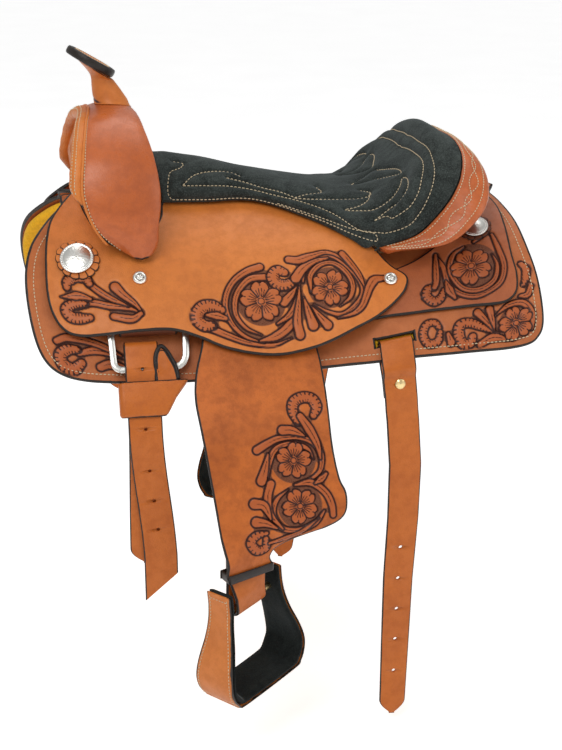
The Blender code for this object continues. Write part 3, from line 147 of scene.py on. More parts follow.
def fender_frame(side):
    """Hanging point and the aft, down and outward directions of a fender."""
    spot = barrel(FENDER_X, 0.115, FENDER_RISE, side)
    slope = math.radians(FENDER_SLOPE)
    outward = np.array([0.0, side * math.sin(slope), math.cos(slope)])
    aft = np.array([1.0, 0.0, 0.0]) + outward * FENDER_YAW
    aft = aft / np.linalg.norm(aft)
    down = np.array([0.0, side * math.cos(slope), -math.sin(slope)])
    outward = outward - aft * (outward @ aft)
    outward = outward / np.linalg.norm(outward)
    lean = math.radians(OFF_LEAN) if side > 0 else 0.0
    turned = aft * math.cos(lean) - down * math.sin(lean)
    return spot, turned, down * math.cos(lean) + aft * math.sin(lean), outward


def fender_point(p, q, off, side):
    """Point p aft and q down a fender, off its inner face.

    Its middle line runs at angles that change with q; the neck turns to face forward.
    """
    p, q, off = np.broadcast_arrays(*(np.asarray(v, float) for v in (p, q, off)))
    spot, aft, down, outward = fender_frame(side)
    slope = math.radians(FENDER_SLOPE)
    level = down * math.cos(slope) + outward * math.sin(slope)
    sink = down * math.sin(slope) - outward * math.cos(slope)
    fine = np.linspace(0.0, 0.42, 841)
    angles = np.radians(np.interp(fine / MM, *zip(*FENDER_BENDS)))
    step = fine[1]
    run = np.concatenate([[0.0], np.cumsum((np.cos(angles[1:]) + np.cos(angles[:-1])) / 2.0 * step)])
    drop = np.concatenate([[0.0], np.cumsum((np.sin(angles[1:]) + np.sin(angles[:-1])) / 2.0 * step)])
    angle = np.interp(q, fine, angles)[..., None]
    run, drop = np.interp(q, fine, run)[..., None], np.interp(q, fine, drop)[..., None]
    normal = level * np.sin(angle) - sink * np.cos(angle)
    turn = np.radians(np.interp(q / MM, *zip(*NECK_TURN)))[..., None]
    across = aft * np.cos(turn) - normal * np.sin(turn)
    face = normal * np.cos(turn) + aft * np.sin(turn)
    middle = spot + aft * NECK_X + level * run + sink * drop
    return middle + across * (p - NECK_X)[..., None] + face * off[..., None]


PAD_EDGE_T = 6.0 * MM
SEAT_EDGE = [(-91, 46), (-45, 42), (10, 41), (66, 75), (102, 107), (116, 119)]
SEAT_MIDDLE = [(-96, 63), (-40, 53), (9, 41), (78, 28), (135, 27), (178, 51)]
SEAT_ROUND = [1.0, 1.0, 0.95, 0.85, 0.75, 0.65]
CREST = [(206, 0, 86), (202, 58, 77), (190, 96, 58), (173, 118, 38), (157, 126, 16),
         (143, 129, -5), (126, 127, -24)]
PAD_BACK = [(222, 0, 83), (229, 60, 79), (230, 95, 64), (219, 121, 40), (199, 131, 13),
            (170, 133, -13), (130, 130, -26)]
ROLL_EDGE = [(246, 0, 70), (252, 62, 62), (255, 105, 49), (249, 136, 27), (232, 152, 5),
             (197, 156, -20), (139, 139, -29)]


def spline_rows(rows, count):
    """Catmull-Rom curve through rows of points, at evenly spaced places counted in rows."""
    rows = np.asarray(rows, float)
    last = len(rows) - 1
    rows = np.concatenate([2.0 * rows[:1] - rows[1:2], rows, 2.0 * rows[-1:] - rows[-2:-1]])
    place = np.linspace(0.0, last, count)
    i = np.minimum(place.astype(int), last - 1)
    t = (place - i).reshape((-1,) + (1,) * (rows.ndim - 1))
    before, a, b, after = rows[i], rows[i + 1], rows[i + 2], rows[i + 3]
    return 0.5 * (2 * a + (b - before) * t + (2 * before - 5 * a + 4 * b - after) * t ** 2
                  + (3 * a - before - 3 * b + after) * t ** 3)


def lifted(points):
    """Points given in millimetres from the skirt's outer face, in metres from the origin."""
    points = np.array(points, float) * MM
    points[:, 2] += SPINE_RISE
    return points


def seat_rows():
    """Rows of points across the seat, each a rounded dome between its edges on the jockeys."""
    rows = []
    angles = np.radians(np.linspace(0.0, 90.0, 7))
    for (x, d), (mx, mz), power in zip(SEAT_EDGE, SEAT_MIDDLE, SEAT_ROUND):
        off = float(jockey_low(x * MM, d * MM)) + 4.0 * MM + GAP + PAD_EDGE_T
        edge = barrel(x * MM, d * MM, off)
        middle = np.array([mx * MM, 0.0, mz * MM + SPINE_RISE])
        fall = np.cos(angles)[:, None] ** power
        fall[-1] = 0.0
        points = edge + (middle - edge) * fall
        points[:, 1] = edge[1] * np.sin(angles)
        rows.append(points)
    rows += [lifted(CREST), lifted(PAD_BACK)]
    return [np.concatenate([row[::-1][:-1] * [1.0, -1.0, 1.0], row]) for row in rows]


def seat_surface(count_u, count_v):
    """Seat as a spline surface through its rows, from swell to cantle and from near to off."""
    rows = spline_rows(np.array(seat_rows()), count_u)
    return np.swapaxes(spline_rows(np.swapaxes(rows, 0, 1), count_v), 0, 1)


def curve(points, spacing, closed=False):
    """Catmull-Rom curve through points, resampled at an even spacing along its length."""
    points = np.asarray(points, float)
    if closed:
        ends = (points[-1:], points[:2])
    else:
        ends = (2.0 * points[:1] - points[1:2], 2.0 * points[-1:] - points[-2:-1])
    row = np.concatenate([ends[0], points, ends[1]])
    t = np.linspace(0.0, 1.0, 16, endpoint=False)[None, :, None]
    a, b, c, d = row[:-3, None], row[1:-2, None], row[2:-1, None], row[3:, None]
    fine = 0.5 * (2 * b + (c - a) * t + (2 * a - 5 * b + 4 * c - d) * t ** 2
                  + (3 * b - a - 3 * c + d) * t ** 3)
    fine = fine.reshape(-1, points.shape[1])
    fine = np.concatenate([fine, fine[:1] if closed else points[-1:]])
    run = lengths(fine)
    places = np.linspace(0.0, run[-1], max(int(round(run[-1] / spacing)), 2) + 1)
    even = at_length(fine, run, places)
    return even[:-1] if closed else even


def lengths(line):
    """Length run along a row of points, from 0."""
    return np.concatenate([[0.0], np.cumsum(np.linalg.norm(np.diff(line, axis=0), axis=1))])


def at_length(line, run, places):
    """Points at given lengths along a row of points, by straight interpolation."""
    return np.stack([np.interp(places, run, line[:, k]) for k in range(line.shape[1])], -1)


def unit(vectors):
    """Vectors divided by their length."""
    return vectors / np.maximum(np.linalg.norm(vectors, axis=-1, keepdims=True), 1e-12)


def facing(ways, towards):
    """Ways turned round where they point away from others."""
    return ways * np.sign((ways * towards).sum(1, keepdims=True))


def sideways(way):
    """Flat ways turned by a quarter."""
    return np.stack([way[..., 1], -way[..., 0]], -1)


def out_of_loop(loop, axis=0):
    """Ways out of a closed flat loop at its points."""
    return sideways(unit(np.roll(loop, -1, axis) - np.roll(loop, 1, axis)))


def nearest(flat, loop):
    """Nearest point on a closed loop, the way out of it there, and the depth inside it."""
    after = np.roll(loop, -1, 0) - loop
    turn = np.sign((loop[:, 0] * np.roll(loop, -1, 0)[:, 1]
                    - loop[:, 1] * np.roll(loop, -1, 0)[:, 0]).sum())
    way = unit(sideways(after)) * turn
    corner_way = unit(way + np.roll(way, 1, 0))
    best = np.empty(len(flat), int)
    for start in range(0, len(flat), 8000):
        part = flat[start:start + 8000]
        miss = (part ** 2).sum(1)[:, None] - 2.0 * part @ loop.T + (loop ** 2).sum(1)[None]
        best[start:start + 8000] = miss.argmin(1)
    found, direction, least = loop[best], corner_way[best], np.full(len(flat), np.inf)
    for base in (best, (best - 1) % len(loop)):
        step = after[base]
        t = ((flat - loop[base]) * step).sum(1) / np.maximum((step ** 2).sum(1), 1e-18)
        t = np.clip(t, 0.0, 1.0)[:, None]
        point = loop[base] + step * t
        away = np.linalg.norm(flat - point, axis=1)
        out = unit(corner_way[base] * (1.0 - t) + corner_way[(base + 1) % len(loop)] * t)
        better = (away < least)[:, None]
        found, direction = np.where(better, point, found), np.where(better, out, direction)
        least = np.minimum(least, away)
    depth = -np.sign(((flat - found) * direction).sum(1)) * least
    return found, direction, depth


def spread(spans):
    """Grid lines over spans of (start, end, step), given in millimetres."""
    rows = [np.linspace(a, b, max(int(round((b - a) / step)), 1), endpoint=False) for a, b, step in spans]
    return np.concatenate(rows + [[spans[-1][1]]]) * MM


def open_edges(cells, size):
    """Sides that belong to one cell alone, found by the sorted pair of their two corners."""
    sides = np.concatenate([cells[:, [k, (k + 1) % 4]] for k in range(4)])
    key = np.sort(sides, 1) @ np.array([size, 1])
    _, first, times = np.unique(key, return_index=True, return_counts=True)
    return sides[first[times == 1]]


def lattice(loop, xs, ds, rim):
    """Flat grid inside a loop whose border points are moved onto the loop, inset by rim."""
    gx, gd = np.meshgrid(xs, ds, indexing="ij")
    flat = np.stack([gx, gd], -1).reshape(-1, 2)
    found, way, depth = nearest(flat, loop)
    cell = np.minimum(np.gradient(xs)[:, None], np.gradient(ds)[None, :]).ravel()
    keep = (depth > rim + 0.35 * cell).reshape(gx.shape)
    full = keep[:-1, :-1] & keep[1:, :-1] & keep[:-1, 1:] & keep[1:, 1:]
    number = np.arange(gx.size).reshape(gx.shape)
    i, j = np.nonzero(full)
    cells = np.stack([number[i, j], number[i + 1, j], number[i + 1, j + 1], number[i, j + 1]], 1)
    count = np.zeros(gx.shape, int)
    for a, b in ((0, 0), (1, 0), (0, 1), (1, 1)):
        count[a:a + full.shape[0], b:b + full.shape[1]] += full
    border = ((count > 0) & (count < 4)).ravel()
    flat = np.where(border[:, None], found - way * rim, flat)
    depth = np.where(border, rim, depth)
    edges = open_edges(cells, gx.size)
    used = np.nonzero(count.ravel())[0]
    renumber = np.full(gx.size, -1)
    renumber[used] = np.arange(len(used))
    return {"flat": flat[used], "depth": depth[used], "out": way[used],
            "cells": renumber[cells], "edges": renumber[edges]}


def make_object(name, verts, faces, finish, attributes=None, smooth_angle=None):
    """Mesh object from whole arrays, with float point attributes and smooth shading."""
    mesh = bpy.data.meshes.new(name)
    verts = np.asarray(verts, np.float32)
    mesh.vertices.add(len(verts))
    mesh.vertices.foreach_set("co", verts.ravel())
    corners = np.concatenate([np.asarray(block).ravel() for block in faces])
    totals = np.concatenate([np.full(len(block), len(block[0])) for block in faces])
    mesh.loops.add(len(corners))
    mesh.loops.foreach_set("vertex_index", corners.astype(np.int32))
    mesh.polygons.add(len(totals))
    starts = np.concatenate([[0], np.cumsum(totals)[:-1]])
    mesh.polygons.foreach_set("loop_start", starts.astype(np.int32))
    mesh.update(calc_edges=True)
    mesh.validate()
    for key, values in (attributes or {}).items():
        layer = mesh.attributes.new(key, "FLOAT", "POINT")
        layer.data.foreach_set("value", np.asarray(values, np.float32).ravel())
    mesh.materials.append(finish)
    mesh.shade_smooth()
    if smooth_angle:
        mesh.set_sharp_from_angle(angle=math.radians(smooth_angle))
    obj = bpy.data.objects.new(name, mesh)
    bpy.context.scene.collection.objects.link(obj)
    if signed_volume(mesh) < 0.0:
        mesh.flip_normals()
    return obj


def signed_volume(mesh):
    """Volume inside a mesh from the sum of its faces' cones, positive when they point out."""
    mesh.calc_loop_triangles()
    points = np.empty(len(mesh.vertices) * 3)
    mesh.vertices.foreach_get("co", points)
    points = points.reshape(-1, 3)
    points = points - points.mean(0)
    tris = np.empty(len(mesh.loop_triangles) * 3, int)
    mesh.loop_triangles.foreach_get("vertices", tris)
    a, b, c = (points[tris.reshape(-1, 3)[:, k]] for k in range(3))
    return float((np.cross(a, b) * c).sum())


def bent_sheet(name, flat, low, high, place, finish, design=None, rim=None):
    """Closed leather sheet: a flat grid laid at two heights, its edge rounded between them.

    The edge runs out and round by a half circle. The design is carved into the upper face.
    """
    where, count = flat["flat"], len(flat["flat"])
    a, b = where[:, 0], where[:, 1]
    relief = carve(where, design) if design else [np.zeros(count)] * 4
    low_at, high_at = as_height(low)(a, b), as_height(high)(a, b)
    rim = rim or float((high_at - low_at).mean()) / 2.0
    top = place(a, b, high_at + relief[0] * MM)
    bottom = place(a, b, low_at)
    border = np.unique(flat["edges"])
    spot = np.full(count, -1)
    spot[border] = np.arange(len(border))
    rings = []
    for phi in np.radians([0.0, 35.0, 70.0, 110.0, 145.0, 180.0]):
        p = where[border] + flat["out"][border] * (rim * math.sin(phi) + BAND)
        share = (1.0 + math.cos(phi)) / 2.0
        height = low_at[border] * (1.0 - share) + high_at[border] * share
        rings.append(place(p[:, 0], p[:, 1], height))
    verts = np.concatenate([top, bottom] + rings)
    rows = [border] + [2 * count + k * len(border) + np.arange(len(border)) for k in range(6)]
    rows.append(count + border)
    edge_a, edge_b = spot[flat["edges"][:, 0]], spot[flat["edges"][:, 1]]
    walls = [np.stack([upper[edge_b], upper[edge_a], lower[edge_a], lower[edge_b]], 1)
             for upper, lower in zip(rows, rows[1:])]
    faces = [flat["cells"], flat["cells"][:, ::-1] + count] + walls
    extra = len(verts) - 2 * count
    attributes = {"edge": np.concatenate([np.zeros(2 * count), np.ones(extra)])}
    for key, values in zip(("cut", "ground", "tooled"), relief[1:]):
        attributes[key] = np.concatenate([values, np.zeros(count + extra)])
    attributes["flesh"] = np.concatenate([np.zeros(count), np.ones(count), np.zeros(extra)])
    return make_object(name, verts, [np.concatenate(faces)], finish, attributes)


def as_height(value):
    """A height as a function of the two flat coordinates, whether given as one or not."""
    return value if callable(value) else (lambda a, b: np.full(np.shape(a), float(value)))


def carve(where, design):
    """Relief of tooled leather: raised height in mm, cut lines, matted ground, tooled share.

    Each form is a field of distances: positive inside its outline. It is domed inside,
    bevelled outside, and cut along its outline and veins.
    """
    where = where * 1000.0
    count = len(where)
    relief, closeness = np.zeros((4, count)), np.zeros(count)
    for form in design:
        kind = form[0]
        points = np.atleast_2d(np.array(form[1], float))
        reach = (form[2] if kind != "leaf" else max(form[2])) + 5.0
        lower, upper = points.min(0) - reach, points.max(0) + reach
        near = np.nonzero(((where > lower) & (where < upper)).all(1))[0]
        if not len(near):
            continue
        local = where[near]
        if kind == "field":
            share = smooth((form[2] - np.linalg.norm(local - points[0], axis=1)) / 2.0)
            relief[0, near] -= 0.35 * share
            relief[2, near] = np.maximum(relief[2, near], share)
            relief[3, near] = np.maximum(relief[3, near], share)
            continue
        shape = flower_field if kind == "flower" else leaf_field
        inside, dome, veins = shape(local, form)
        within = inside > 0.0
        # Cut line along the outline: partly a real incision, partly painted shade in it
        line = np.exp(-((inside + 0.25) / 0.75) ** 2)
        height = np.where(within, dome, relief[0, near] - 0.7 * np.exp(-(inside / 1.9) ** 2))
        relief[0, near] = height - 0.65 * line - np.where(within, 0.45 * veins, 0.0)
        own = np.maximum(line, veins)
        # Painted shade: a dark band outside each outline, where the bevel lies in shadow, put into the
        # cut-line colour
        shade = np.exp(-(np.minimum(inside, 0.0) / 1.5) ** 2) * 0.8
        relief[1, near] = np.where(within, own, np.maximum(relief[1, near], np.maximum(line, shade)))
        relief[2, near] = np.where(within, 0.0, relief[2, near])
        relief[3, near] = np.maximum(relief[3, near], smooth((inside + 2.5) / 2.5))
        crowd = np.exp(-(np.minimum(inside, 0.0) / 3.2) ** 2)
        closeness[near] = np.where(within, -9.0, closeness[near] + crowd)
    pinched = smooth((closeness - 0.85) / 0.3)
    relief[0] -= 0.4 * pinched
    relief[2] = np.maximum(relief[2], pinched)
    return relief


def leaf_field(local, form):
    """Leaf or scroll: distance to its curved middle line, taken from its changing half width.

    A number after the widths cuts that many ribs in from its edge; without it one vein runs
    along the middle.
    """
    line = curve(form[1], 0.8)
    run = lengths(line) / lengths(line)[-1]
    half = np.interp(run, np.linspace(0.0, 1.0, len(form[2])), form[2]) * (0.72 if len(form) > 3 else 0.6)
    miss = (local ** 2).sum(1)[:, None] - 2.0 * local @ line.T + (line ** 2).sum(1)[None]
    best = miss.argmin(1)
    away = np.sqrt(np.maximum(miss[np.arange(len(local)), best], 0.0))
    width = half[best]
    inside = width - away
    dome = 0.8 * np.sqrt(np.clip(inside / np.maximum(width, 0.3), 0.0, 1.0)) * np.minimum(width / 2.5, 1.0)
    if len(form) > 3:
        ray = np.abs((run[best] * form[3] * 2.2) % 1.0 - 0.5) * 2.0
        veins = 0.85 * smooth(1.2 - ray / 0.42) * smooth((away - 0.3 * width) / 0.7) * (inside > 0.2)
        dome = dome * (1.0 - 0.4 * veins)
    else:
        along = smooth(run[best] / 0.2) * smooth((0.92 - run[best]) / 0.2)
        veins = 0.75 * np.exp(-(away / 0.55) ** 2) * along * (width > 2.4)
    return inside, dome, veins


def flower_field(local, form):
    """Five petalled flower: an outline whose radius dips between petals and at their tips."""
    (x, y), radius, turn = form[1], form[2], form[3]
    away = np.hypot(local[:, 0] - x, local[:, 1] - y)
    angle = np.arctan2(local[:, 1] - y, local[:, 0] - x) - math.radians(turn)
    part = (angle / (2.0 * math.pi / 5.0)) % 1.0 - 0.5
    edge = radius * (0.66 + 0.34 * np.cos(part * math.pi) ** 0.7 - 0.12 * np.exp(-(part / 0.08) ** 2))
    inside = edge - away
    between = away * np.abs(np.sin((np.abs(part) - 0.5) * 2.0 * math.pi / 5.0))
    lobe = np.cos(part * math.pi)
    dome = 0.7 * lobe ** 0.5 * smooth(away / (0.5 * radius)) * smooth(inside / 2.5 + 0.2)
    veins = np.exp(-(between / 0.75) ** 2) * (away > 0.2 * radius)
    rays = np.exp(-((part % 0.2 - 0.1) * away * 1.2566 / 0.5) ** 2)
    veins = np.maximum(veins, rays * (away < (0.5 + 0.15 * lobe) * radius) * (away > 0.22 * radius) * 0.8)
    notch = np.exp(-(part * away * 1.2566 / 0.6) ** 2) * (away > 0.72 * radius)
    veins = np.maximum(veins, 0.8 * notch)
    eye = 0.15 * radius
    veins = np.maximum(veins, np.exp(-((away - eye) / 0.5) ** 2))
    return inside, np.where(away < eye, 0.6, dome), veins


def stitch_row(line, normal, pitch=4.2, length=3.3, radius=0.6, sink=0.1):
    """Row of stitches along a line on a surface: each a short bowed capsule lying on it.

    All are one template placed along the line's own directions.
    """
    run = lengths(line)
    count = max(int(run[-1] / (pitch * MM)), 1)
    middle = (np.arange(count) + 0.5) * run[-1] / count
    half = length * MM / 2.0
    start, end = at_length(line, run, middle - half), at_length(line, run, middle + half)
    up = unit(at_length(normal, run, middle))
    ahead = end - start
    side = unit(np.cross(up, ahead))
    share = np.array([0.0, 0.12, 0.35, 0.65, 0.88, 1.0])
    swell = np.array([0.15, 0.75, 1.0, 1.0, 0.75, 0.15]) * radius * MM
    bow = np.array([-0.5, 0.2, 0.75, 0.75, 0.2, -0.5]) * radius * MM
    angle = full_turn(6)
    spine = (start[:, None] + ahead[:, None] * share[None, :, None]
             + up[:, None] * (bow - sink * MM)[None, :, None])
    ring = (side[:, None, None] * np.cos(angle)[None, None, :, None]
            + up[:, None, None] * np.sin(angle)[None, None, :, None])
    verts = spine[:, :, None] + ring * swell[None, :, None, None]
    i, k = np.meshgrid(np.arange(5), np.arange(6), indexing="ij")
    quad = np.stack([i * 6 + k, i * 6 + (k + 1) % 6, (i + 1) * 6 + (k + 1) % 6, (i + 1) * 6 + k], -1)
    quad = quad.reshape(-1, 4)
    base = np.arange(count)[:, None, None] * 36
    caps = np.array([[5, 4, 3, 2, 1, 0], [30, 31, 32, 33, 34, 35]])
    return {"verts": verts.reshape(-1, 3), "quads": (base + quad[None]).reshape(-1, 4),
            "caps": (base + caps[None]).reshape(-1, 6)}


def sew(name, rows, body="saddle"):
    """One piece from several rows of stitches, fixed to its body."""
    verts, quads, caps, base = [], [], [], 0
    for row in rows:
        verts.append(row["verts"])
        quads.append(row["quads"] + base)
        caps.append(row["caps"] + base)
        base += len(row["verts"])
    faces = [np.concatenate(quads), np.concatenate(caps)]
    ride_on(make_object(name, np.concatenate(verts), faces, finish("Stitch Thread")), body)


def line_on(place, high, points, closed=False, lift=0.0, spacing=1.0):
    """Line through flat points in millimetres, laid on a sheet, and the sheet's way out."""
    flat = curve(points, spacing, closed) * MM
    if closed:
        flat = np.concatenate([flat, flat[:1]])
    a, b = flat[:, 0], flat[:, 1]
    high = as_height(high)
    step = 1.0 * MM

    def at(p, q):
        return place(p, q, high(p, q) + lift)
    here = at(a, b)
    normal = unit(np.cross(at(a + step, b) - here, at(a, b + step) - here))
    outward = place(a, b, high(a, b) + MM) - here
    return here, facing(normal, outward)


def inset_line(outline, depth, start, end):
    """Part of an outline moved inwards, from one share of its length to another."""
    loop = curve(outline, 3.0, closed=True)
    _, way, _ = nearest(loop, loop)
    inner = loop - way * depth
    count = len(inner)
    places = np.arange(int(start * count), int(end * count)) % count
    return inner[places]


def lofted(name, rings, finish, closed_ring=True, closed_path=False, attributes=None, angle=None):
    """Body through equal rings of points, as whole arrays; open ends are capped."""
    rings = np.asarray(rings, float)
    rows, columns = rings.shape[:2]
    row_pairs = rows if closed_path else rows - 1
    column_pairs = columns if closed_ring else columns - 1
    i, k = np.meshgrid(np.arange(row_pairs), np.arange(column_pairs), indexing="ij")
    j, m = (i + 1) % rows, (k + 1) % columns
    quads = np.stack([i * columns + k, i * columns + m, j * columns + m, j * columns + k], -1)
    faces = [quads.reshape(-1, 4)]
    if closed_ring and not closed_path:
        first = np.arange(columns)
        faces.append(np.stack([first[::-1], first + (rows - 1) * columns]))
    values = {key: np.broadcast_to(value, (rows, columns)) for key, value in (attributes or {}).items()}
    return make_object(name, rings.reshape(-1, 3), faces, finish, values, angle)


BAND = 0.9 * MM
STRAP_SECTION = np.array([(-1, -.35), (-1, .35), (-.985, .7), (-.95, .93), (-.9, 1), (-.45, 1.02), (0, 1.03),
                          (.45, 1.02), (.9, 1), (.95, .93), (.985, .7), (1, .35), (1, -.35), (.985, -.7),
                          (.95, -.93), (.9, -1), (0, -1), (-.9, -1), (-.95, -.93), (-.985, -.7)])
STRAP_EDGE = np.array([1, 1, 1, 1, .1, 0, 0, 0, .1, 1, 1, 1, 1, 1, 1, .1, 0, .1, 1, 1.0])


def strap_rings(path, across, width, thick):
    """Rings of a flat strap: a rounded flat section carried along a path, each across a way."""
    path, across = np.asarray(path, float), np.asarray(across, float)
    ahead = np.gradient(path, axis=0)
    across = np.broadcast_to(across, path.shape)
    across = unit(across - ahead * ((across * ahead).sum(1) / (ahead ** 2).sum(1))[:, None])
    up = unit(np.cross(across, ahead))
    width, thick = np.broadcast_to(width, len(path)), np.broadcast_to(thick, len(path))
    s, t = STRAP_SECTION[:, 0], STRAP_SECTION[:, 1]
    return (path[:, None] + across[:, None] * (s[None] * width[:, None] / 2.0)[..., None]
            + up[:, None] * (t[None] * thick[:, None] / 2.0)[..., None])


def strap(name, path, across, width, thick, finish, tips=(False, False), slant=0.0):
    """Leather strap along a path, with dyed edges; a tip narrows to a rounded point.

    A slant cuts the far end off at an angle: one side is that much shorter.
    """
    path, across = np.asarray(path, float), np.broadcast_to(np.asarray(across, float), np.shape(path))
    coarse = lengths(path)
    width = np.broadcast_to(np.asarray(width, float), len(path))
    run = np.linspace(0.0, coarse[-1], int(coarse[-1] / (1.6 * MM)) + 2)
    path, across = at_length(path, coarse, run), at_length(across, coarse, run)
    width = np.interp(run, coarse, width)
    for end, wanted in enumerate(tips):
        if wanted:
            left = run if end == 0 else run[-1] - run
            reach = width.max() * 0.45
            width *= np.clip(np.sin(np.clip(left / reach, 0.0, 1.0) * math.pi / 2.0), 0.16, 1.0) ** 0.8
    rings = strap_rings(path, across, width, thick)
    if slant:
        late = smooth((run - run[-1] + 0.07) / 0.07)[:, None]
        share = (STRAP_SECTION[:, 0] * np.sign(slant) + 1.0) / 2.0 * late
        rings = rings - unit(np.gradient(path, axis=0))[:, None] * (share * abs(slant))[..., None]
    edge = np.broadcast_to(STRAP_EDGE, rings.shape[:2]).copy()
    for end, wanted in enumerate(tips):
        if wanted:
            edge[0 if end == 0 else -1] = 1.0
    return lofted(name, rings, finish, attributes={"edge": edge}, angle=50.0)


def punch(obj, spots, way, radius, reach=6.0 * MM):
    """Round holes through a strap, cut by one Boolean and applied."""
    sides = 14
    angle, k = full_turn(sides), np.arange(sides)
    ways = np.broadcast_to(np.asarray(way, float), (len(spots), 3))
    verts, faces, base = [], [], 0
    for spot, axis in zip(np.asarray(spots, float), ways):
        axis = unit(axis)
        ring = circle(axis, angle, (0.3, 0.4, 0.86)) * radius
        verts.append(np.concatenate([spot - axis * reach + ring, spot + axis * reach + ring]))
        faces.append(np.stack([k, (k + 1) % sides, (k + 1) % sides + sides, k + sides], 1) + base)
        base += 2 * sides
    caps = np.concatenate([np.stack([k[::-1], k + sides]) + start for start in range(0, base, 2 * sides)])
    cutter = make_object("cutter", np.concatenate(verts), [np.concatenate(faces), caps],
                         obj.data.materials[0], {"edge": np.ones(base)})
    modifier = obj.modifiers.new("punch", "BOOLEAN")
    modifier.operation, modifier.solver, modifier.object = "DIFFERENCE", "EXACT", cutter
    bpy.context.view_layer.update()
    baked = bpy.data.meshes.new_from_object(obj.evaluated_get(bpy.context.evaluated_depsgraph_get()))
    obj.modifiers.clear()
    obj.data = baked
    bpy.data.objects.remove(cutter)
    return obj


def full_turn(count):
    """Evenly spaced angles round a full turn."""
    return np.linspace(0.0, 2.0 * math.pi, count, endpoint=False)


def circle(axis, angle, guide=(0.9, 0.1, 0.2)):
    """Ways out of an axis at some angles round it: one across a guide, turned by each angle."""
    aside = unit(np.cross(axis, guide))
    return aside * np.cos(angle)[:, None] + np.cross(axis, aside) * np.sin(angle)[:, None]


def turned_rings(profile, middle, axis, count=48, relief=None):
    """Rings of a turned body: a profile of radius and height swept round an axis.

    The relief adds height as a function of radius and angle.
    """
    profile = np.asarray(profile, float)
    axis = unit(np.asarray(axis, float))
    angle = full_turn(count)
    out = circle(axis, angle)
    radius = np.broadcast_to(profile[:, :1], (len(profile), count))
    height = np.broadcast_to(profile[:, 1:], (len(profile), count))
    if relief is not None:
        extra_radius, extra_height = relief(radius, np.broadcast_to(angle[None], radius.shape))
        radius, height = radius + extra_radius, height + extra_height
    return np.asarray(middle) + out[None] * radius[..., None] + axis * height[..., None]


# Materials

def node(tree, kind, place=(0, 0), **values):
    """One node of a tree, with some of its settings."""
    made = tree.nodes.new(kind)
    made.location = place
    for key, value in values.items():
        setattr(made, key, value)
    return made


def link(tree, *pairs):
    """Links from one socket to another, given in pairs."""
    for start, end in zip(pairs[::2], pairs[1::2]):
        tree.links.new(start, end)


def new_group(name, inputs, outputs):
    """Empty shader node group with named sockets, and its two ends."""
    tree = bpy.data.node_groups.new(name, "ShaderNodeTree")
    for label, kind, default in inputs:
        socket = tree.interface.new_socket(label, in_out="INPUT", socket_type="NodeSocket" + kind)
        if default is not None:
            socket.default_value = default
    for label, kind in outputs:
        tree.interface.new_socket(label, in_out="OUTPUT", socket_type="NodeSocket" + kind)
    return tree, node(tree, "NodeGroupInput", (-900, 0)), node(tree, "NodeGroupOutput", (900, 0))


def mixed(tree, share, first, second, blend="MIX"):
    """Mix of two colours. Each end is a socket, or a colour to set."""
    made = node(tree, "ShaderNodeMix", data_type="RGBA", blend_type=blend)
    for index, value in ((0, share), (6, first), (7, second)):
        if isinstance(value, (float, int, tuple)):
            made.inputs[index].default_value = (*value, 1.0) if isinstance(value, tuple) else value
        else:
            tree.links.new(value, made.inputs[index])
    return made.outputs[2]


def ranged(tree, value, low, high, to_low=0.0, to_high=1.0):
    """Value mapped smoothly from one range to another, and held at its ends."""
    made = node(tree, "ShaderNodeMapRange", interpolation_type="SMOOTHSTEP")
    tree.links.new(value, made.inputs["Value"])
    for key, number in (("From Min", low), ("From Max", high), ("To Min", to_low), ("To Max", to_high)):
        made.inputs[key].default_value = number
    return made.outputs["Result"]


def noise(tree, at, scale, detail=3.0, rough=0.55, twist=0.0):
    """Noise over a place, between 0 and 1."""
    made = node(tree, "ShaderNodeTexNoise")
    tree.links.new(at, made.inputs["Vector"])
    for key, number in (("Scale", scale), ("Detail", detail), ("Roughness", rough), ("Distortion", twist)):
        made.inputs[key].default_value = number
    return made.outputs["Fac"]


def maths(tree, operation, *values, use_clamp=False):
    """Value worked out from others. Each of them is a socket, or a number to set."""
    made = node(tree, "ShaderNodeMath", operation=operation, use_clamp=use_clamp)
    for socket, value in zip(made.inputs, values):
        if isinstance(value, (float, int)):
            socket.default_value = value
        else:
            tree.links.new(value, socket)
    return made.outputs[0]


def own_place(tree, stretch=None):
    """Place in a piece's own coordinates, stretched along its axes when asked."""
    at = node(tree, "ShaderNodeTexCoord").outputs["Object"]
    if stretch is None:
        return at
    made = node(tree, "ShaderNodeMapping")
    made.inputs["Scale"].default_value = stretch
    tree.links.new(at, made.inputs["Vector"])
    return made.outputs["Vector"]


def attribute(tree, key):
    """Value of a point attribute."""
    return node(tree, "ShaderNodeAttribute", attribute_name=key).outputs["Fac"]


def cells(tree, at, scale, feature):
    """Distance in a pattern of small cells."""
    made = node(tree, "ShaderNodeTexVoronoi", feature=feature)
    made.inputs["Scale"].default_value = scale
    tree.links.new(at, made.inputs["Vector"])
    return made.outputs["Distance"]


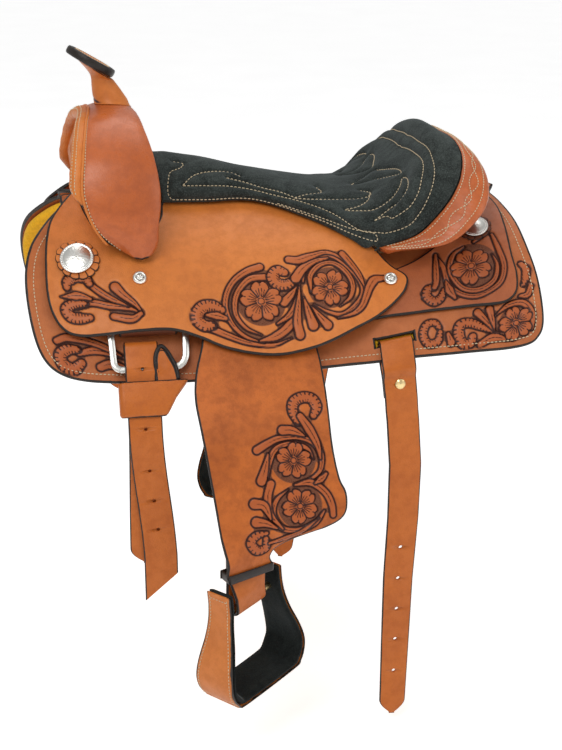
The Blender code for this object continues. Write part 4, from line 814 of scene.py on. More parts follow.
def hide_group():
    """Group: leather's mottled colour, its grain height and its uneven gloss.

    Broad and middle noise mix a light and a dark tone. Small cells are the grain, and long
    thin noise makes the creases.
    """
    inputs = [("Light", "Color", (0.6, 0.25, 0.1, 1)), ("Dark", "Color", (0.3, 0.1, 0.04, 1)),
              ("Mottle", "Float", 0.5), ("Grain", "Float", 0.5)]
    tree, start, end = new_group("Leather Hide", inputs, [("Color", "Color"), ("Height", "Float"),
                                                           ("Gloss", "Float")])
    at = own_place(tree)
    broad, middle = noise(tree, at, 14.0, 4.0, 0.6, 0.6), noise(tree, at, 95.0, 4.0, 0.65)
    blotch = maths(tree, "MULTIPLY", ranged(tree, broad, 0.36, 0.66), 0.55)
    both = maths(tree, "MULTIPLY_ADD", ranged(tree, middle, 0.38, 0.66), 0.45, blotch)
    share = maths(tree, "MULTIPLY", both, start.outputs["Mottle"])
    colour = mixed(tree, share, start.outputs["Light"], start.outputs["Dark"])
    pores = ranged(tree, noise(tree, at, 700.0, 2.0, 0.6), 0.30, 0.44, 1.0, 0.0)
    colour = mixed(tree, maths(tree, "MULTIPLY", pores, 0.28), colour, start.outputs["Dark"])
    grain = ranged(tree, cells(tree, at, 520.0, "DISTANCE_TO_EDGE"), 0.0, 0.28)
    height = maths(tree, "MULTIPLY_ADD", grain, start.outputs["Grain"], middle)
    link(tree, colour, end.inputs["Color"], height, end.inputs["Height"],
         ranged(tree, middle, 0.3, 0.7), end.inputs["Gloss"])


def tooling_group():
    """Group: colours of cut lines, matted ground, tooled forms and dyed edges, from attributes."""
    inputs = [("Color", "Color", None), ("Height", "Float", 0.0), ("Cut", "Color", (0.08, 0.02, 0.01, 1)),
              ("Ground", "Color", (0.2, 0.1, 0.07, 1)), ("Tooled", "Color", (0.6, 0.2, 0.1, 1)),
              ("Edge", "Color", (0.02, 0.015, 0.012, 1)), ("Flesh", "Color", (0.3, 0.16, 0.08, 1))]
    tree, start, end = new_group("Leather Tooling", inputs, [("Color", "Color"), ("Height", "Float"),
                                                              ("Dull", "Float")])
    value = {key: attribute(tree, key) for key in ("edge", "cut", "ground", "tooled", "flesh")}
    at = own_place(tree)
    pit = ranged(tree, cells(tree, at, 900.0, "F1"), 0.15, 0.5)
    # Tooled forms: the darker colour of pressed leather, deepened further as painted shade
    colour = mixed(tree, ranged(tree, value["tooled"], 0.0, 1.0, 0.0, 0.8), start.outputs["Color"],
                   start.outputs["Tooled"])
    speckled = mixed(tree, pit, start.outputs["Cut"], start.outputs["Ground"])
    colour = mixed(tree, ranged(tree, value["ground"], 0.1, 0.9, 0.0, 0.85), colour, speckled)
    # Cut lines and the band outside each form: partly real dark incisions, partly painted shade in the
    # carving
    colour = mixed(tree, ranged(tree, value["cut"], 0.06, 0.62, 0.0, 1.0), colour, start.outputs["Cut"])
    colour = mixed(tree, ranged(tree, value["flesh"], 0.2, 0.8), colour, start.outputs["Flesh"])
    wobble = ranged(tree, noise(tree, at, 60.0, 3.0, 0.7), 0.2, 0.8, -0.25, 0.25)
    edge = ranged(tree, maths(tree, "ADD", value["edge"], wobble), 0.35, 0.75)
    colour = mixed(tree, edge, colour, start.outputs["Edge"])
    height = maths(tree, "ADD", maths(tree, "MULTIPLY", pit, value["ground"]), start.outputs["Height"])
    dull = maths(tree, "MAXIMUM", value["ground"], value["flesh"])
    link(tree, colour, end.inputs["Color"], height, end.inputs["Height"], dull, end.inputs["Dull"])


def new_material(name):
    """Empty material with its Principled shader."""
    made = bpy.data.materials.new(name)
    made.use_nodes = True
    return made, made.node_tree, made.node_tree.nodes["Principled BSDF"]


def dress(tree, shader, colour, height, bump, values, rough=None):
    """Colour, bump (strength and distance) and settings of a finish; its roughness may be a socket."""
    raised = node(tree, "ShaderNodeBump")
    raised.inputs["Strength"].default_value, raised.inputs["Distance"].default_value = bump
    link(tree, colour, shader.inputs["Base Color"], height, raised.inputs["Height"],
         raised.outputs["Normal"], shader.inputs["Normal"])
    if rough:
        tree.links.new(rough, shader.inputs["Roughness"])
    for key, value in values.items():
        shader.inputs[key].default_value = value


def darker(colour, share, red=1.0):
    """Colour scaled down, keeping a little more of its red."""
    return (colour[0] * share * red, colour[1] * share, colour[2] * share)


def leather(name, light, dark, cut, ground, tooled, mottle=0.65, rough=0.44, coat=0.12, bump=0.4):
    """Vegetable-tanned leather: mottled, grained, dyed at its edges and carved by attributes."""
    _, tree, shader = new_material(name)
    hide = node(tree, "ShaderNodeGroup", (-700, 0), node_tree=bpy.data.node_groups["Leather Hide"])
    tool = node(tree, "ShaderNodeGroup", (-350, 0), node_tree=bpy.data.node_groups["Leather Tooling"])
    hide.inputs["Light"].default_value, hide.inputs["Dark"].default_value = (*light, 1), (*dark, 1)
    hide.inputs["Mottle"].default_value = mottle
    for key, value in (("Cut", cut), ("Ground", ground), ("Tooled", tooled), ("Flesh", darker(dark, 0.9))):
        tool.inputs[key].default_value = (*value, 1.0)
    gloss = ranged(tree, hide.outputs["Gloss"], 0.0, 1.0, rough - 0.06, rough + 0.10)
    dull = maths(tree, "MULTIPLY_ADD", tool.outputs["Dull"], 0.3, gloss, use_clamp=True)
    link(tree, hide.outputs["Color"], tool.inputs["Color"], hide.outputs["Height"], tool.inputs["Height"])
    values = {"Coat Weight": coat, "Coat Roughness": 0.28, "Specular IOR Level": 0.28}
    dress(tree, shader, tool.outputs["Color"], tool.outputs["Height"], (bump, 0.0004), values, dull)


def suede(name, colour, pile):
    """Brushed suede: cloudy tone where the pile is stroked, with a soft sheen."""
    _, tree, shader = new_material(name)
    at = own_place(tree)
    stroke = ranged(tree, noise(tree, at, 45.0, 4.0, 0.6, 1.2), 0.36, 0.66)
    fuzz = noise(tree, at, 620.0, 4.0, 0.75)
    tone = mixed(tree, stroke, colour, pile)
    tone = mixed(tree, ranged(tree, fuzz, 0.47, 0.68, 0.0, 0.6), tone, darker(pile, 2.2))
    tone = mixed(tree, ranged(tree, fuzz, 0.32, 0.46, 0.5, 0.0), tone, darker(colour, 0.3))
    tone = mixed(tree, ranged(tree, attribute(tree, "edge"), 0.4, 0.8), tone, darker(colour, 0.6))
    dress(tree, shader, tone, fuzz, (0.5, 0.0004), {
        "Roughness": 0.92, "Specular IOR Level": 0.15, "Sheen Weight": 0.22, "Sheen Roughness": 0.45,
        "Sheen Tint": (0.55, 0.62, 0.64, 1.0)})


def fuzzy(name, colour, shade, scale, strength):
    """Wool or thread: a soft broken surface of two tones."""
    _, tree, shader = new_material(name)
    at = own_place(tree)
    tufts = noise(tree, at, scale, 4.0, 0.65, 0.8)
    fibre = noise(tree, at, scale * 9.0, 2.0, 0.6)
    tone = mixed(tree, ranged(tree, tufts, 0.35, 0.65), shade, colour)
    tone = mixed(tree, ranged(tree, fibre, 0.5, 0.75, 0.0, 0.2), tone, darker(shade, 0.75))
    dress(tree, shader, tone, tufts, (strength, 0.001), {"Roughness": 0.88, "Sheen Weight": 0.05})


def metal(name, colour, tarnish, rough, scratch=0.25):
    """Plated metal with faint scratches and darker, duller tarnish in patches and cuts."""
    _, tree, shader = new_material(name)
    patch = ranged(tree, noise(tree, own_place(tree), 120.0, 4.0, 0.6), 0.5, 0.75)
    lines = noise(tree, own_place(tree, (1.0, 6.0, 3.0)), 500.0, 3.0, 0.7)
    tone = mixed(tree, ranged(tree, patch, 0.0, 1.0, 0.0, 0.45), colour, tarnish)
    cut = ranged(tree, attribute(tree, "cut"), 0.1, 0.9, 0.0, 0.9)
    tone = mixed(tree, cut, tone, darker(tarnish, 0.35))
    dress(tree, shader, tone, lines, (scratch, 0.00008), {"Metallic": 1.0},
          ranged(tree, patch, 0.0, 1.0, rough, rough + 0.16))


def wood():
    """Plain sawn timber for the tree: stretched rings of two tones under a matt sealer."""
    _, tree, shader = new_material("Tree Wood")
    rings = noise(tree, own_place(tree, (0.6, 9.0, 9.0)), 16.0, 5.0, 0.6, 1.5)
    tone = mixed(tree, ranged(tree, rings, 0.35, 0.65), (0.50, 0.31, 0.15), (0.31, 0.17, 0.075))
    dress(tree, shader, tone, rings, (0.3, 0.0006), {}, ranged(tree, rings, 0.3, 0.7, 0.5, 0.68))


def linear(colour):
    """Linear colour from a display colour of 0 to 255."""
    value = np.array(colour) / 255.0
    return tuple(np.where(value <= 0.04045, value / 12.92, ((value + 0.055) / 1.055) ** 2.4))


def build_materials():
    """Every finish of the saddle from the colours in the panel."""
    tone = bpy.context.scene.saddle_tones
    hide_group()
    tooling_group()
    shade = {key.removesuffix("_colour"): tuple(getattr(tone, key))
             for key in SaddleTones.__annotations__ if key.endswith("_colour")}
    tooled, brown, black, pile = shade["tooled"], shade["dark"], shade["edge"], shade["suede"]
    for key, share, red, looks in (
            ("tan", 0.62, 1.12, {}), ("skirt", 0.62, 1.12, {}),
            # Rear jockeys: the leather and its tooled colour are darker copies, painted shade
            ("rear", 0.62, 1.12, {"tooled": darker(tooled, 0.85)}), ("fender", 0.55, 1.1, {"mottle": 0.95}),
            ("billet", 0.60, 1.15, {"rough": 0.38}),
            ("swell", 0.6, 1.1, {"mottle": 0.8, "rough": 0.32, "coat": 0.35}),
            ("dark", 0.55, 1.0, {"tooled": brown, "rough": 0.5})):
        looks = {"tooled": tooled, **looks}
        leather(key.title() + " Leather", shade[key], darker(shade[key], share, red), shade["cut"],
                shade["ground"], **looks)
    leather("Black Leather", darker(black, 1.5), darker(black, 0.8), black, black, black, rough=0.4)
    suede("Black Suede", pile, darker(pile, 2.1))
    suede("Stirrup Suede", darker(pile, 0.25), darker(pile, 0.6))
    fuzzy("Fleece Wool", shade["lining"], darker(shade["lining"], 0.82), 220.0, 0.7)
    fuzzy("Stitch Thread", shade["thread"], darker(shade["thread"], 0.62), 1800.0, 0.5)
    metal("Nickel", (0.86, 0.85, 0.80), (0.55, 0.53, 0.47), 0.30, 0.5)
    metal("Steel", (0.45, 0.45, 0.46), (0.22, 0.21, 0.20), 0.36)
    metal("Brass", (0.78, 0.60, 0.30), (0.38, 0.25, 0.10), 0.28)
    wood()


def finish(name):
    """A finish by its name."""
    return bpy.data.materials[name]


# Pieces

SKIRT_OUTLINE = [
    (-175, 14), (-201, 42), (-220, 72), (-236, 105), (-243, 138), (-243, 172), (-238, 208),
    (-229, 231), (-214, 243), (-190, 247), (-148, 245), (-40, 238), (58, 236), (122, 240),
    (159, 243), (215, 252), (255, 260), (277, 262), (287, 258), (294, 248), (297, 228),
    (298, 190), (296, 150), (294, 112), (290, 82), (284, 48), (274, 14), (50, 8)]
JOCKEY_OUTLINE = [
    (-189, 30), (-211, 66), (-219, 96), (-222, 130), (-222, 162), (-217, 184), (-207, 198),
    (-191, 203), (-162, 200), (-112, 193), (-90, 194), (-68, 201), (-45, 211), (-14, 219),
    (11, 222), (31, 221), (52, 218), (72, 213), (93, 206), (116, 197), (138, 184), (154, 171),
    (160, 159), (158, 150), (148, 139), (134, 120), (122, 108), (100, 92), (78, 72), (58, 50),
    (36, 34), (0, 26), (-50, 30), (-88, 34), (-96, 60), (-106, 80), (-116, 98), (-127, 105),
    (-142, 104), (-155, 97), (-165, 83), (-176, 55), (-181, 30)]
REAR_JOCKEY_OUTLINE = [
    (104, 188), (140, 194), (180, 198), (220, 204), (250, 210), (263, 209), (272, 201),
    (276, 182), (276, 156), (279, 117), (280, 84), (275, 55), (264, 20), (226, 20), (222, 66),
    (214, 108), (180, 130), (142, 140), (104, 146)]
FENDER_OUTLINE = [
    (-40, 14), (-48, 60), (-53, 92), (-62, 122), (-66, 152), (-63, 189), (-57, 241), (-52, 285),
    (-49, 318), (-47, 338), (3, 338), (3, 324), (8, 315), (21, 308), (47, 299), (70, 290),
    (80, 281), (83, 270), (82, 257), (76, 242), (71, 205), (71, 146), (69, 110), (62, 60), (50, 14)]

# Tooling: fields (middle, radius), flowers (middle, radius, turn) and leaves (line, widths, ribs)
JOCKEY_TOOLING = [
    ("field", (-2, 165), 27), ("field", (72, 158), 24),
    ("leaf", [(45, 148), (50, 130), (62, 121), (79, 121), (94, 135), (106, 153), (107, 168), (97, 181),
              (81, 189), (66, 184), (53, 174)], [2, 5, 5, 5, 5, 5, 5, 5, 4, 3, 1]),
    ("leaf", [(52, 160), (54, 142), (66, 131), (80, 131), (92, 143), (97, 158), (92, 172), (80, 180)],
     [2, 5, 5, 4, 5, 5, 4, 1]),
    ("leaf", [(-128, 176), (-141, 172), (-160, 170), (-178, 167), (-192, 172)], [1, 5, 6, 6, 4]),
    ("leaf", [(-140, 170), (-158, 162), (-172, 152), (-180, 143)], [1, 5, 6, 5]),
    ("leaf", [(-55, 192), (-40, 199), (-20, 207), (5, 211), (25, 206)], [6, 5, 4, 3, 1]),
    ("leaf", [(2, 126), (-12, 130), (-27, 140), (-37, 155), (-40, 172), (-34, 189), (-22, 201), (-4, 208)],
     [7, 6, 5, 5, 5, 4, 3, 1]),
    ("leaf", [(6, 138), (-10, 139), (-22, 149), (-29, 162), (-30, 178), (-21, 192), (-6, 200)],
     [6, 6, 5, 5, 4, 3, 1]),
    ("leaf", [(38, 165), (33, 182), (22, 195), (8, 203), (-8, 206)], [2, 6, 8, 7, 2]),
    ("leaf", [(40, 152), (36, 168), (26, 182), (12, 190)], [2, 6, 5, 2]),
    ("leaf", [(-44, 172), (-52, 168), (-62, 168), (-69, 174), (-70, 182), (-64, 188), (-55, 188)],
     [5, 9, 9, 9, 9, 8, 6], 8),
    ("leaf", [(-41, 181), (-50, 178), (-60, 177)], [4, 7, 3]),
    ("leaf", [(27, 135), (20, 132), (14, 139), (18, 147), (28, 149), (38, 143)], [6, 9, 9, 9, 8, 4], 7),
    ("leaf", [(38, 143), (47, 133), (60, 126), (76, 124)], [9, 8, 5, 2]),
    ("leaf", [(34, 120), (44, 122), (58, 119), (76, 117), (92, 128), (104, 146)], [7, 8, 5, 3, 3, 1]),
    ("leaf", [(92, 121), (98, 131), (106, 146), (111, 164)], [6, 6, 5, 1]),
    ("leaf", [(134, 151), (124, 152), (116, 161), (110, 172), (103, 183), (92, 190), (76, 192)],
     [5, 8, 7, 6, 5, 3, 1]),
    ("leaf", [(41, 150), (37, 170), (33, 190), (34, 204)], [1, 4, 7, 8]),
    ("leaf", [(43, 165), (46, 182), (49, 196)], [1, 6, 9]),
    ("leaf", [(50, 176), (57, 188), (64, 198)], [1, 5, 8]),
    ("leaf", [(38, 152), (30, 161), (22, 168)], [1, 6, 8]),
    ("leaf", [(-180, 183), (-188, 184), (-199, 183), (-203, 175), (-195, 169), (-184, 168)],
     [5, 8, 8, 8, 7, 5], 7),
    ("leaf", [(-178, 163), (-190, 160), (-208, 162)], [3, 8, 1]),
    ("leaf", [(-178, 146), (-182, 140), (-192, 139), (-200, 145), (-201, 151)], [5, 8, 8, 8, 5], 6),
    ("leaf", [(-152, 150), (-145, 158), (-134, 167), (-128, 174)], [9, 7, 5, 2]),
    ("leaf", [(-128, 177), (-138, 183), (-156, 181)], [4, 7, 6]),
    ("flower", (-2, 165), 23, 20), ("flower", (72, 158), 20.5, 50)]
SKIRT_TOOLING = [
    ("field", (266, 235), 20),
    ("leaf", [(-145, 218), (-160, 214), (-177, 213), (-193, 218)], [2, 6, 7, 5]),
    ("leaf", [(-191, 228), (-199, 235), (-209, 233), (-212, 223), (-205, 216), (-194, 214)],
     [6, 9, 9, 9, 8, 5], 7),
    ("leaf", [(-150, 216), (-170, 207), (-190, 203), (-205, 203), (-215, 208)], [2, 6, 6, 7, 6]),
    ("leaf", [(-172, 230), (-162, 226), (-148, 228), (-138, 232)], [7, 8, 5, 1]),
    ("leaf", [(186, 222), (182, 231), (172, 231), (168, 220), (173, 210), (182, 210), (186, 217)],
     [4, 6, 6, 6, 6, 5, 4], 8),
    ("leaf", [(219, 236), (216, 242), (208, 240), (205, 230), (208, 220), (218, 220), (230, 228),
              (246, 240)], [6, 7, 8, 8, 7, 6, 4, 2], 10),
    ("leaf", [(226, 246), (240, 243), (256, 250)], [6, 8, 2]),
    ("leaf", [(194, 226), (196, 236)], [4, 7]),
    ("leaf", [(243, 238), (236, 224), (228, 211)], [1, 5, 7]),
    ("leaf", [(243, 236), (242, 223), (241, 211)], [1, 5, 7]),
    ("leaf", [(283, 170), (287, 178), (285, 188), (281, 195)], [4, 6, 6, 4], 4),
    ("leaf", [(288, 200), (283, 208), (275, 207)], [5, 6, 3]),
    ("leaf", [(246, 220), (262, 213), (277, 216), (284, 230), (282, 246)], [1, 5, 6, 6, 3]),
    ("flower", (266, 235), 19, 10)]
REAR_TOOLING = [
    ("field", (230, 158), 30),
    ("leaf", [(196, 135), (201, 152), (202, 172), (213, 187), (229, 194), (247, 191), (258, 184),
              (264, 168), (263, 146), (261, 125)], [3, 5, 5, 5, 5, 5, 5, 5, 5, 3]),
    ("leaf", [(228, 131), (214, 139), (207, 158), (215, 180), (232, 188), (250, 182), (257, 166),
              (255, 150)], [2, 5, 5, 5, 5, 5, 4, 1]),
    ("leaf", [(186, 172), (180, 172), (177, 180), (183, 188), (191, 186), (196, 177)],
     [4, 7, 7, 7, 6, 3], 6),
    ("leaf", [(196, 133), (193, 150), (190, 166), (187, 172)], [3, 5, 6, 5]),
    ("leaf", [(200, 168), (202, 180), (206, 190)], [2, 8, 3]),
    ("leaf", [(240, 128), (250, 122), (257, 120)], [3, 6, 3]),
    ("flower", (230, 158), 23, 0)]
FENDER_TOOLING = [
    ("field", (29, 222), 24), ("field", (33, 269), 24),
    ("leaf", [(-8, 209), (4, 203), (16, 199), (34, 199), (50, 205), (58, 218), (56, 234), (44, 243),
              (30, 246)], [7, 6, 5, 4, 5, 5, 4, 3, 1]),
    ("leaf", [(2, 238), (4, 222), (12, 209), (28, 205), (44, 211), (50, 222)], [1, 5, 5, 4, 4, 1]),
    ("leaf", [(3, 214), (-1, 228), (-5, 240)], [2, 6, 9]),
    ("leaf", [(54, 178), (58, 170), (55, 161), (46, 158), (36, 162), (33, 172), (37, 184)],
     [5, 8, 8, 8, 8, 7, 5], 8),
    ("leaf", [(40, 178), (48, 192), (55, 208), (57, 222)], [6, 8, 6, 2]),
    ("leaf", [(20, 191), (30, 192), (42, 198)], [8, 7, 2]),
    ("leaf", [(58, 276), (48, 288), (30, 294), (13, 290), (5, 276), (9, 261), (22, 251)],
     [2, 5, 5, 5, 5, 4, 1]),
    ("leaf", [(29, 247), (46, 246), (60, 257), (66, 270), (67, 281)], [2, 6, 6, 6, 5]),
    ("leaf", [(4, 244), (0, 258), (2, 275), (14, 291)], [7, 7, 5, 2]),
    ("leaf", [(-14, 263), (-4, 266), (2, 280)], [9, 7, 2]),
    ("leaf", [(-13, 282), (-3, 284), (8, 290)], [9, 6, 2]),
    ("leaf", [(-4, 300), (-4, 311), (-14, 312), (-20, 303), (-14, 296), (-3, 294)],
     [4, 7, 7, 7, 6, 3], 6),
    ("leaf", [(0, 306), (14, 303), (32, 297), (52, 283)], [3, 5, 4, 1]),
    ("leaf", [(50, 247), (58, 242), (62, 238)], [2, 6, 3]),
    ("flower", (29, 222), 19, 30), ("flower", (33, 269), 19, 64)]


def on_barrel(side):
    """Place function of the barrel on one side."""
    return lambda x, d, off: barrel(x, d, off, side)


def jockey_high(x, d):
    """Outer face of the seat jockey."""
    return jockey_low(x, d) + JOCKEY_T


def rear_high(x, d):
    """Outer face of the rear jockey."""
    return rear_jockey_low(x, d) + JOCKEY_T


FLAT = {}


def flat_sheet(name, outline, a_spans, b_spans, rim, slot=None):
    """Flat grid of a leather, worked out once for its two sides; a slot removes whole cells."""
    if name not in FLAT:
        loop = curve(outline, 1.5, closed=True) * MM
        flat = lattice(loop, spread(a_spans), spread(b_spans), rim + BAND)
        if slot:
            flat = cut_slot(flat, slot)
        FLAT[name] = flat
    return FLAT[name]


def cut_slot(flat, box):
    """Flat grid without the cells inside a box; the box's edge becomes part of its border."""
    left, right, near, far = (value * MM for value in box)
    middle = flat["flat"][flat["cells"]].mean(1)
    inside = ((middle[:, 0] > left) & (middle[:, 0] < right) & (middle[:, 1] > near)
              & (middle[:, 1] < far))
    cells = flat["cells"][~inside]
    edges = open_edges(cells, len(flat["flat"]))
    ring = np.unique(flat["cells"][inside])
    centre = np.array([(left + right) / 2.0, (near + far) / 2.0])
    half = np.array([(right - left) / 2.0, (far - near) / 2.0])
    spot = flat["flat"][ring]
    reach = (spot - centre) / half
    out = np.where(np.abs(reach[:, :1]) > np.abs(reach[:, 1:]), [[1.0, 0.0]], [[0.0, 1.0]])
    out = -out * np.sign(reach)
    made = dict(flat, cells=cells, edges=edges)
    made["out"], made["depth"] = flat["out"].copy(), flat["depth"].copy()
    made["out"][ring] = out
    made["depth"][ring] = 0.001
    return made


def ride_on(obj, body, nodes=()):
    """Fix a piece to its body, say which CAD nodes it stands for, and name its finish's slot."""
    if nodes:
        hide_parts(*nodes)
    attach(obj, body)
    return obj


def make_skirt(side, name):
    """Skirt: a flat pattern laid on the barrel, tooled at its corners, slotted and stitched."""
    coarse, fine = 5.0, 1.0
    xs = [(-246, -222, 1.6), (-222, -138, fine), (-138, 119, coarse), (119, 160, 1.6), (160, 292, fine),
          (292, 300, 1.6)]
    ds = [(6, 160, coarse), (160, 198, 2.4), (198, 258, fine), (258, 264, 1.6)]
    flat = flat_sheet("skirt", SKIRT_OUTLINE, xs, ds, SKIRT_T / 2.0, (115.0, 161.0, 211.5, 225.5))
    place = on_barrel(side)
    obj = bent_sheet("Skirt_" + name, flat, -SKIRT_T, 0.0, place, finish("Skirt Leather"), SKIRT_TOOLING)
    ride_on(obj, "saddle", ["skirt_" + name])
    inner = inset_line(SKIRT_OUTLINE, 9.0, 0.035, 0.66)
    line, normal = line_on(place, 0.0, inner)
    sew("Skirt_stitching_" + name, [stitch_row(line, normal)])


def make_jockey(side, name):
    """Seat jockey: tooled in its middle and at its front corner."""
    fine = 1.0
    xs = [(-225, -215, 1.6), (-215, -120, fine), (-120, -75, 2.6), (-75, 140, fine), (140, 163, 1.6)]
    ds = [(22, 112, 3.2), (112, 212, fine), (212, 225, 1.6)]
    flat = flat_sheet("jockey", JOCKEY_OUTLINE, xs, ds, JOCKEY_T / 2.0)
    place = on_barrel(side)
    obj = bent_sheet("Seat_jockey_" + name, flat, jockey_low, jockey_high, place,
                     finish("Tan Leather"), JOCKEY_TOOLING)
    ride_on(obj, "saddle", ["jockey_" + name])


def make_rear_jockey(side, name):
    """Rear jockey: its flower panel lies behind the seat."""
    fine = 0.9
    xs = [(102, 172, 3.0), (172, 272, fine), (272, 283, 1.5)]
    ds = [(16, 110, 3.2), (110, 198, fine), (198, 213, 1.5)]
    flat = flat_sheet("rear_jockey", REAR_JOCKEY_OUTLINE, xs, ds, JOCKEY_T / 2.0)
    place = on_barrel(side)
    obj = bent_sheet("Rear_jockey_" + name, flat, rear_jockey_low, rear_high, place,
                     finish("Rear Leather"), REAR_TOOLING)
    ride_on(obj, "saddle", ["rear_jockey_" + name])


def make_fleece(side, name):
    """Sheepskin under the skirt: its wool stands in rounded tufts along the lower face and edge."""
    outline = [(x - 2.0 * np.sign(x - 30), max(d - 2.0 * np.sign(d - 150), 18)) for x, d in SKIRT_OUTLINE]
    flat = flat_sheet("fleece", outline, [(-246, 300, 3.2)], [(12, 262, 3.2)], FLEECE_T / 2.0)
    place = on_barrel(side)

    def curled(x, d):
        wave = (np.sin(x * 410 + 2.0 * np.sin(d * 170)) + np.sin(d * 380 + 2.3 * np.sin(x * 150 + 1.0))
                + np.sin((x + d) * 290 + np.sin(x * 90)))
        return -SKIRT_T - GAP - FLEECE_T + 0.7 * MM * (1.0 + wave / 3.0)
    obj = bent_sheet("Fleece_" + name, flat, curled, -SKIRT_T - GAP, place, finish("Fleece Wool"))
    ride_on(obj, "saddle", ["fleece_" + name])


def fender_place(side):
    """Place function of a fender on one side."""
    return lambda p, q, off: fender_point(p, q, off, side)


def make_fender(side, name):
    """Fender: its two flowers are carved above the neck."""
    fine = 0.9
    xs = [(-70, -26, 2.6), (-26, 72, fine), (72, 86, 1.6)]
    ds = [(12, 148, 3.0), (148, 322, fine), (322, 340, 1.6)]
    flat = flat_sheet("fender", FENDER_OUTLINE, xs, ds, FENDER_T / 2.0)
    obj = bent_sheet("Fender_" + name, flat, 0.0, FENDER_T, fender_place(side), finish("Fender Leather"),
                     FENDER_TOOLING)
    ride_on(obj, "fender_" + name, ["fender_" + name])


def stirrup_bolt_place(side):
    """Middle of the stirrup bolt."""
    return fender_point(NECK_X, BOLT_DOWN, -GAP - STRAP_T - 0.25 * MM, side)


def stirrup_frame(side):
    """Middle of the stirrup's top, its axis, its depth direction and the way up."""
    spot = fender_point(NECK_X, BOLT_DOWN, 0.0, side)
    along = fender_point(NECK_X + MM, BOLT_DOWN, 0.0, side) - spot
    turn = math.atan2(along[1], along[0]) - side * math.radians(15.0)
    roll = math.radians(6.0)
    axis = np.array([math.cos(turn) * math.cos(roll), math.sin(turn) * math.cos(roll), math.sin(roll)])
    deep = unit(np.cross(axis, [0.0, 0.0, 1.0]))
    rise = np.cross(deep, axis)
    return stirrup_bolt_place(side) + rise * 25.0 * MM, axis, deep, rise


def make_stirrup_leather(side, name):
    """Stirrup leather: one strap under the fender, round the bolt and back up."""
    bolt, (_, axis, _, _) = stirrup_bolt_place(side), stirrup_frame(side)
    bend = 5.0 * MM + STRAP_T / 2.0
    face = unit(np.cross(axis, [0.0, 0.0, 1.0]))
    face = face * np.sign(face[1] * side)
    below = unit(np.cross(face, axis))
    below = below * -np.sign(below[2])

    def lay(q, layer):
        q = np.asarray(q, float) * MM
        lean = smooth((q - 0.090) / 0.160) * NECK_X
        path = fender_point(lean, q, layer, side)
        return path, fender_point(lean + MM, q, layer, side) - path

    def turned(layer, way, shares):
        start, flat = lay([339.0], layer)
        end = bolt - below * 12.0 * MM + face * way * bend
        share = np.array(shares)[:, None]
        return start + (end - start) * share, unit(flat) + (axis - unit(flat)) * share
    angle = np.radians(np.linspace(-90, 90, 13))[:, None]
    round_bolt = bolt + face * bend * np.sin(angle) + below * bend * np.cos(angle)
    parts = [lay([40, 60, 90, 110, 130, 150, 165, 180, 195, 210, 225], OUTER_LAYER),
             lay([285, 292.5, 300, 307.5, 315, 322.5, 330, 336], INNER_LAYER),
             turned(INNER_LAYER, -1.0, (0.0, 0.33, 0.67, 1.0)), (round_bolt, np.tile(axis, (13, 1))),
             turned(OUTER_LAYER, 1.0, (1.0, 0.67, 0.33, 0.0)), lay([336, 331], OUTER_LAYER)]
    path = np.concatenate([part[0] for part in parts])
    across = np.concatenate([unit(part[1]) for part in parts])
    obj = strap("Stirrup_leather_" + name, path, across, LEATHER_WIDE, STRAP_T, finish("Billet Leather"))
    ride_on(obj, "fender_" + name, ["stirrup_leather_" + name])


def band_round(corners, radius, count=5):
    """Loop of flat points with each corner rounded by a quadratic arc."""
    corners = np.asarray(corners, float)
    before = unit(np.roll(corners, 1, 0) - corners) * np.reshape(radius, (-1, 1))
    after = unit(np.roll(corners, -1, 0) - corners) * np.reshape(radius, (-1, 1))
    t = np.linspace(0.0, 1.0, count)[None, :, None]
    a, b = (corners + before)[:, None], (corners + after)[:, None]
    return ((1 - t) ** 2 * a + 2 * t * (1 - t) * corners[:, None] + t * t * b).reshape(-1, corners.shape[1])


def make_keeper(side, name):
    """Keeper: a black rolled band round the neck of the fender and the stirrup leather."""
    low, high, half = INNER_LAYER - STRAP_T / 2.0 - 0.8 * MM, FENDER_T + 0.4 * MM, 24.6 * MM
    t = 1.25 * MM
    loop = band_round([(-half - t, low - t), (half + t, low - t), (half + t, high + t),
                       (-half - t, high + t)], 2.5 * MM)
    loop = curve(loop * 1000.0, 1.5, closed=True) * MM
    out = out_of_loop(loop)
    section = np.array([(-.5, 0.0), (-.44, .7), (-.3, 1.0), (0, 1.15), (.3, 1.0), (.44, .7), (.5, 0.0),
                        (.42, -.9), (0, -1.0), (-.42, -.9)])
    p = NECK_X + loop[:, None, 0] + out[:, None, 0] * section[None, :, 1] * t
    h = loop[:, None, 1] + out[:, None, 1] * section[None, :, 1] * t
    q = 335.0 * MM + section[None, :, 0] * 10.0 * MM + 0.0 * p
    rings = fender_point(p, q, h, side)
    obj = lofted("Keeper_" + name, rings, finish("Black Leather"), closed_path=True)
    ride_on(obj, "fender_" + name, ["keeper_" + name])


def stirrup_outline(inset):
    """Bell outline of the stirrup, rounded between its stations, sideways and down."""
    height, top, wide = STIRRUP_TALL / MM, 41.5 - inset, 59.5 - inset
    low, grow = height - inset, wide - top
    half = [(top, -1.0), (top, 0.12 * height), (top + 0.12 * grow, 0.25 * height),
            (top + 0.38 * grow, 0.42 * height), (top + 0.72 * grow, 0.57 * height),
            (wide - 1, 0.70 * height), (wide, 0.80 * height), (wide - 3, low - 12),
            (wide - 9, low - 4), (wide - 19, low)]
    return curve([(-s, z) for s, z in half] + [(s, z) for s, z in half[::-1]], 2.6) * MM


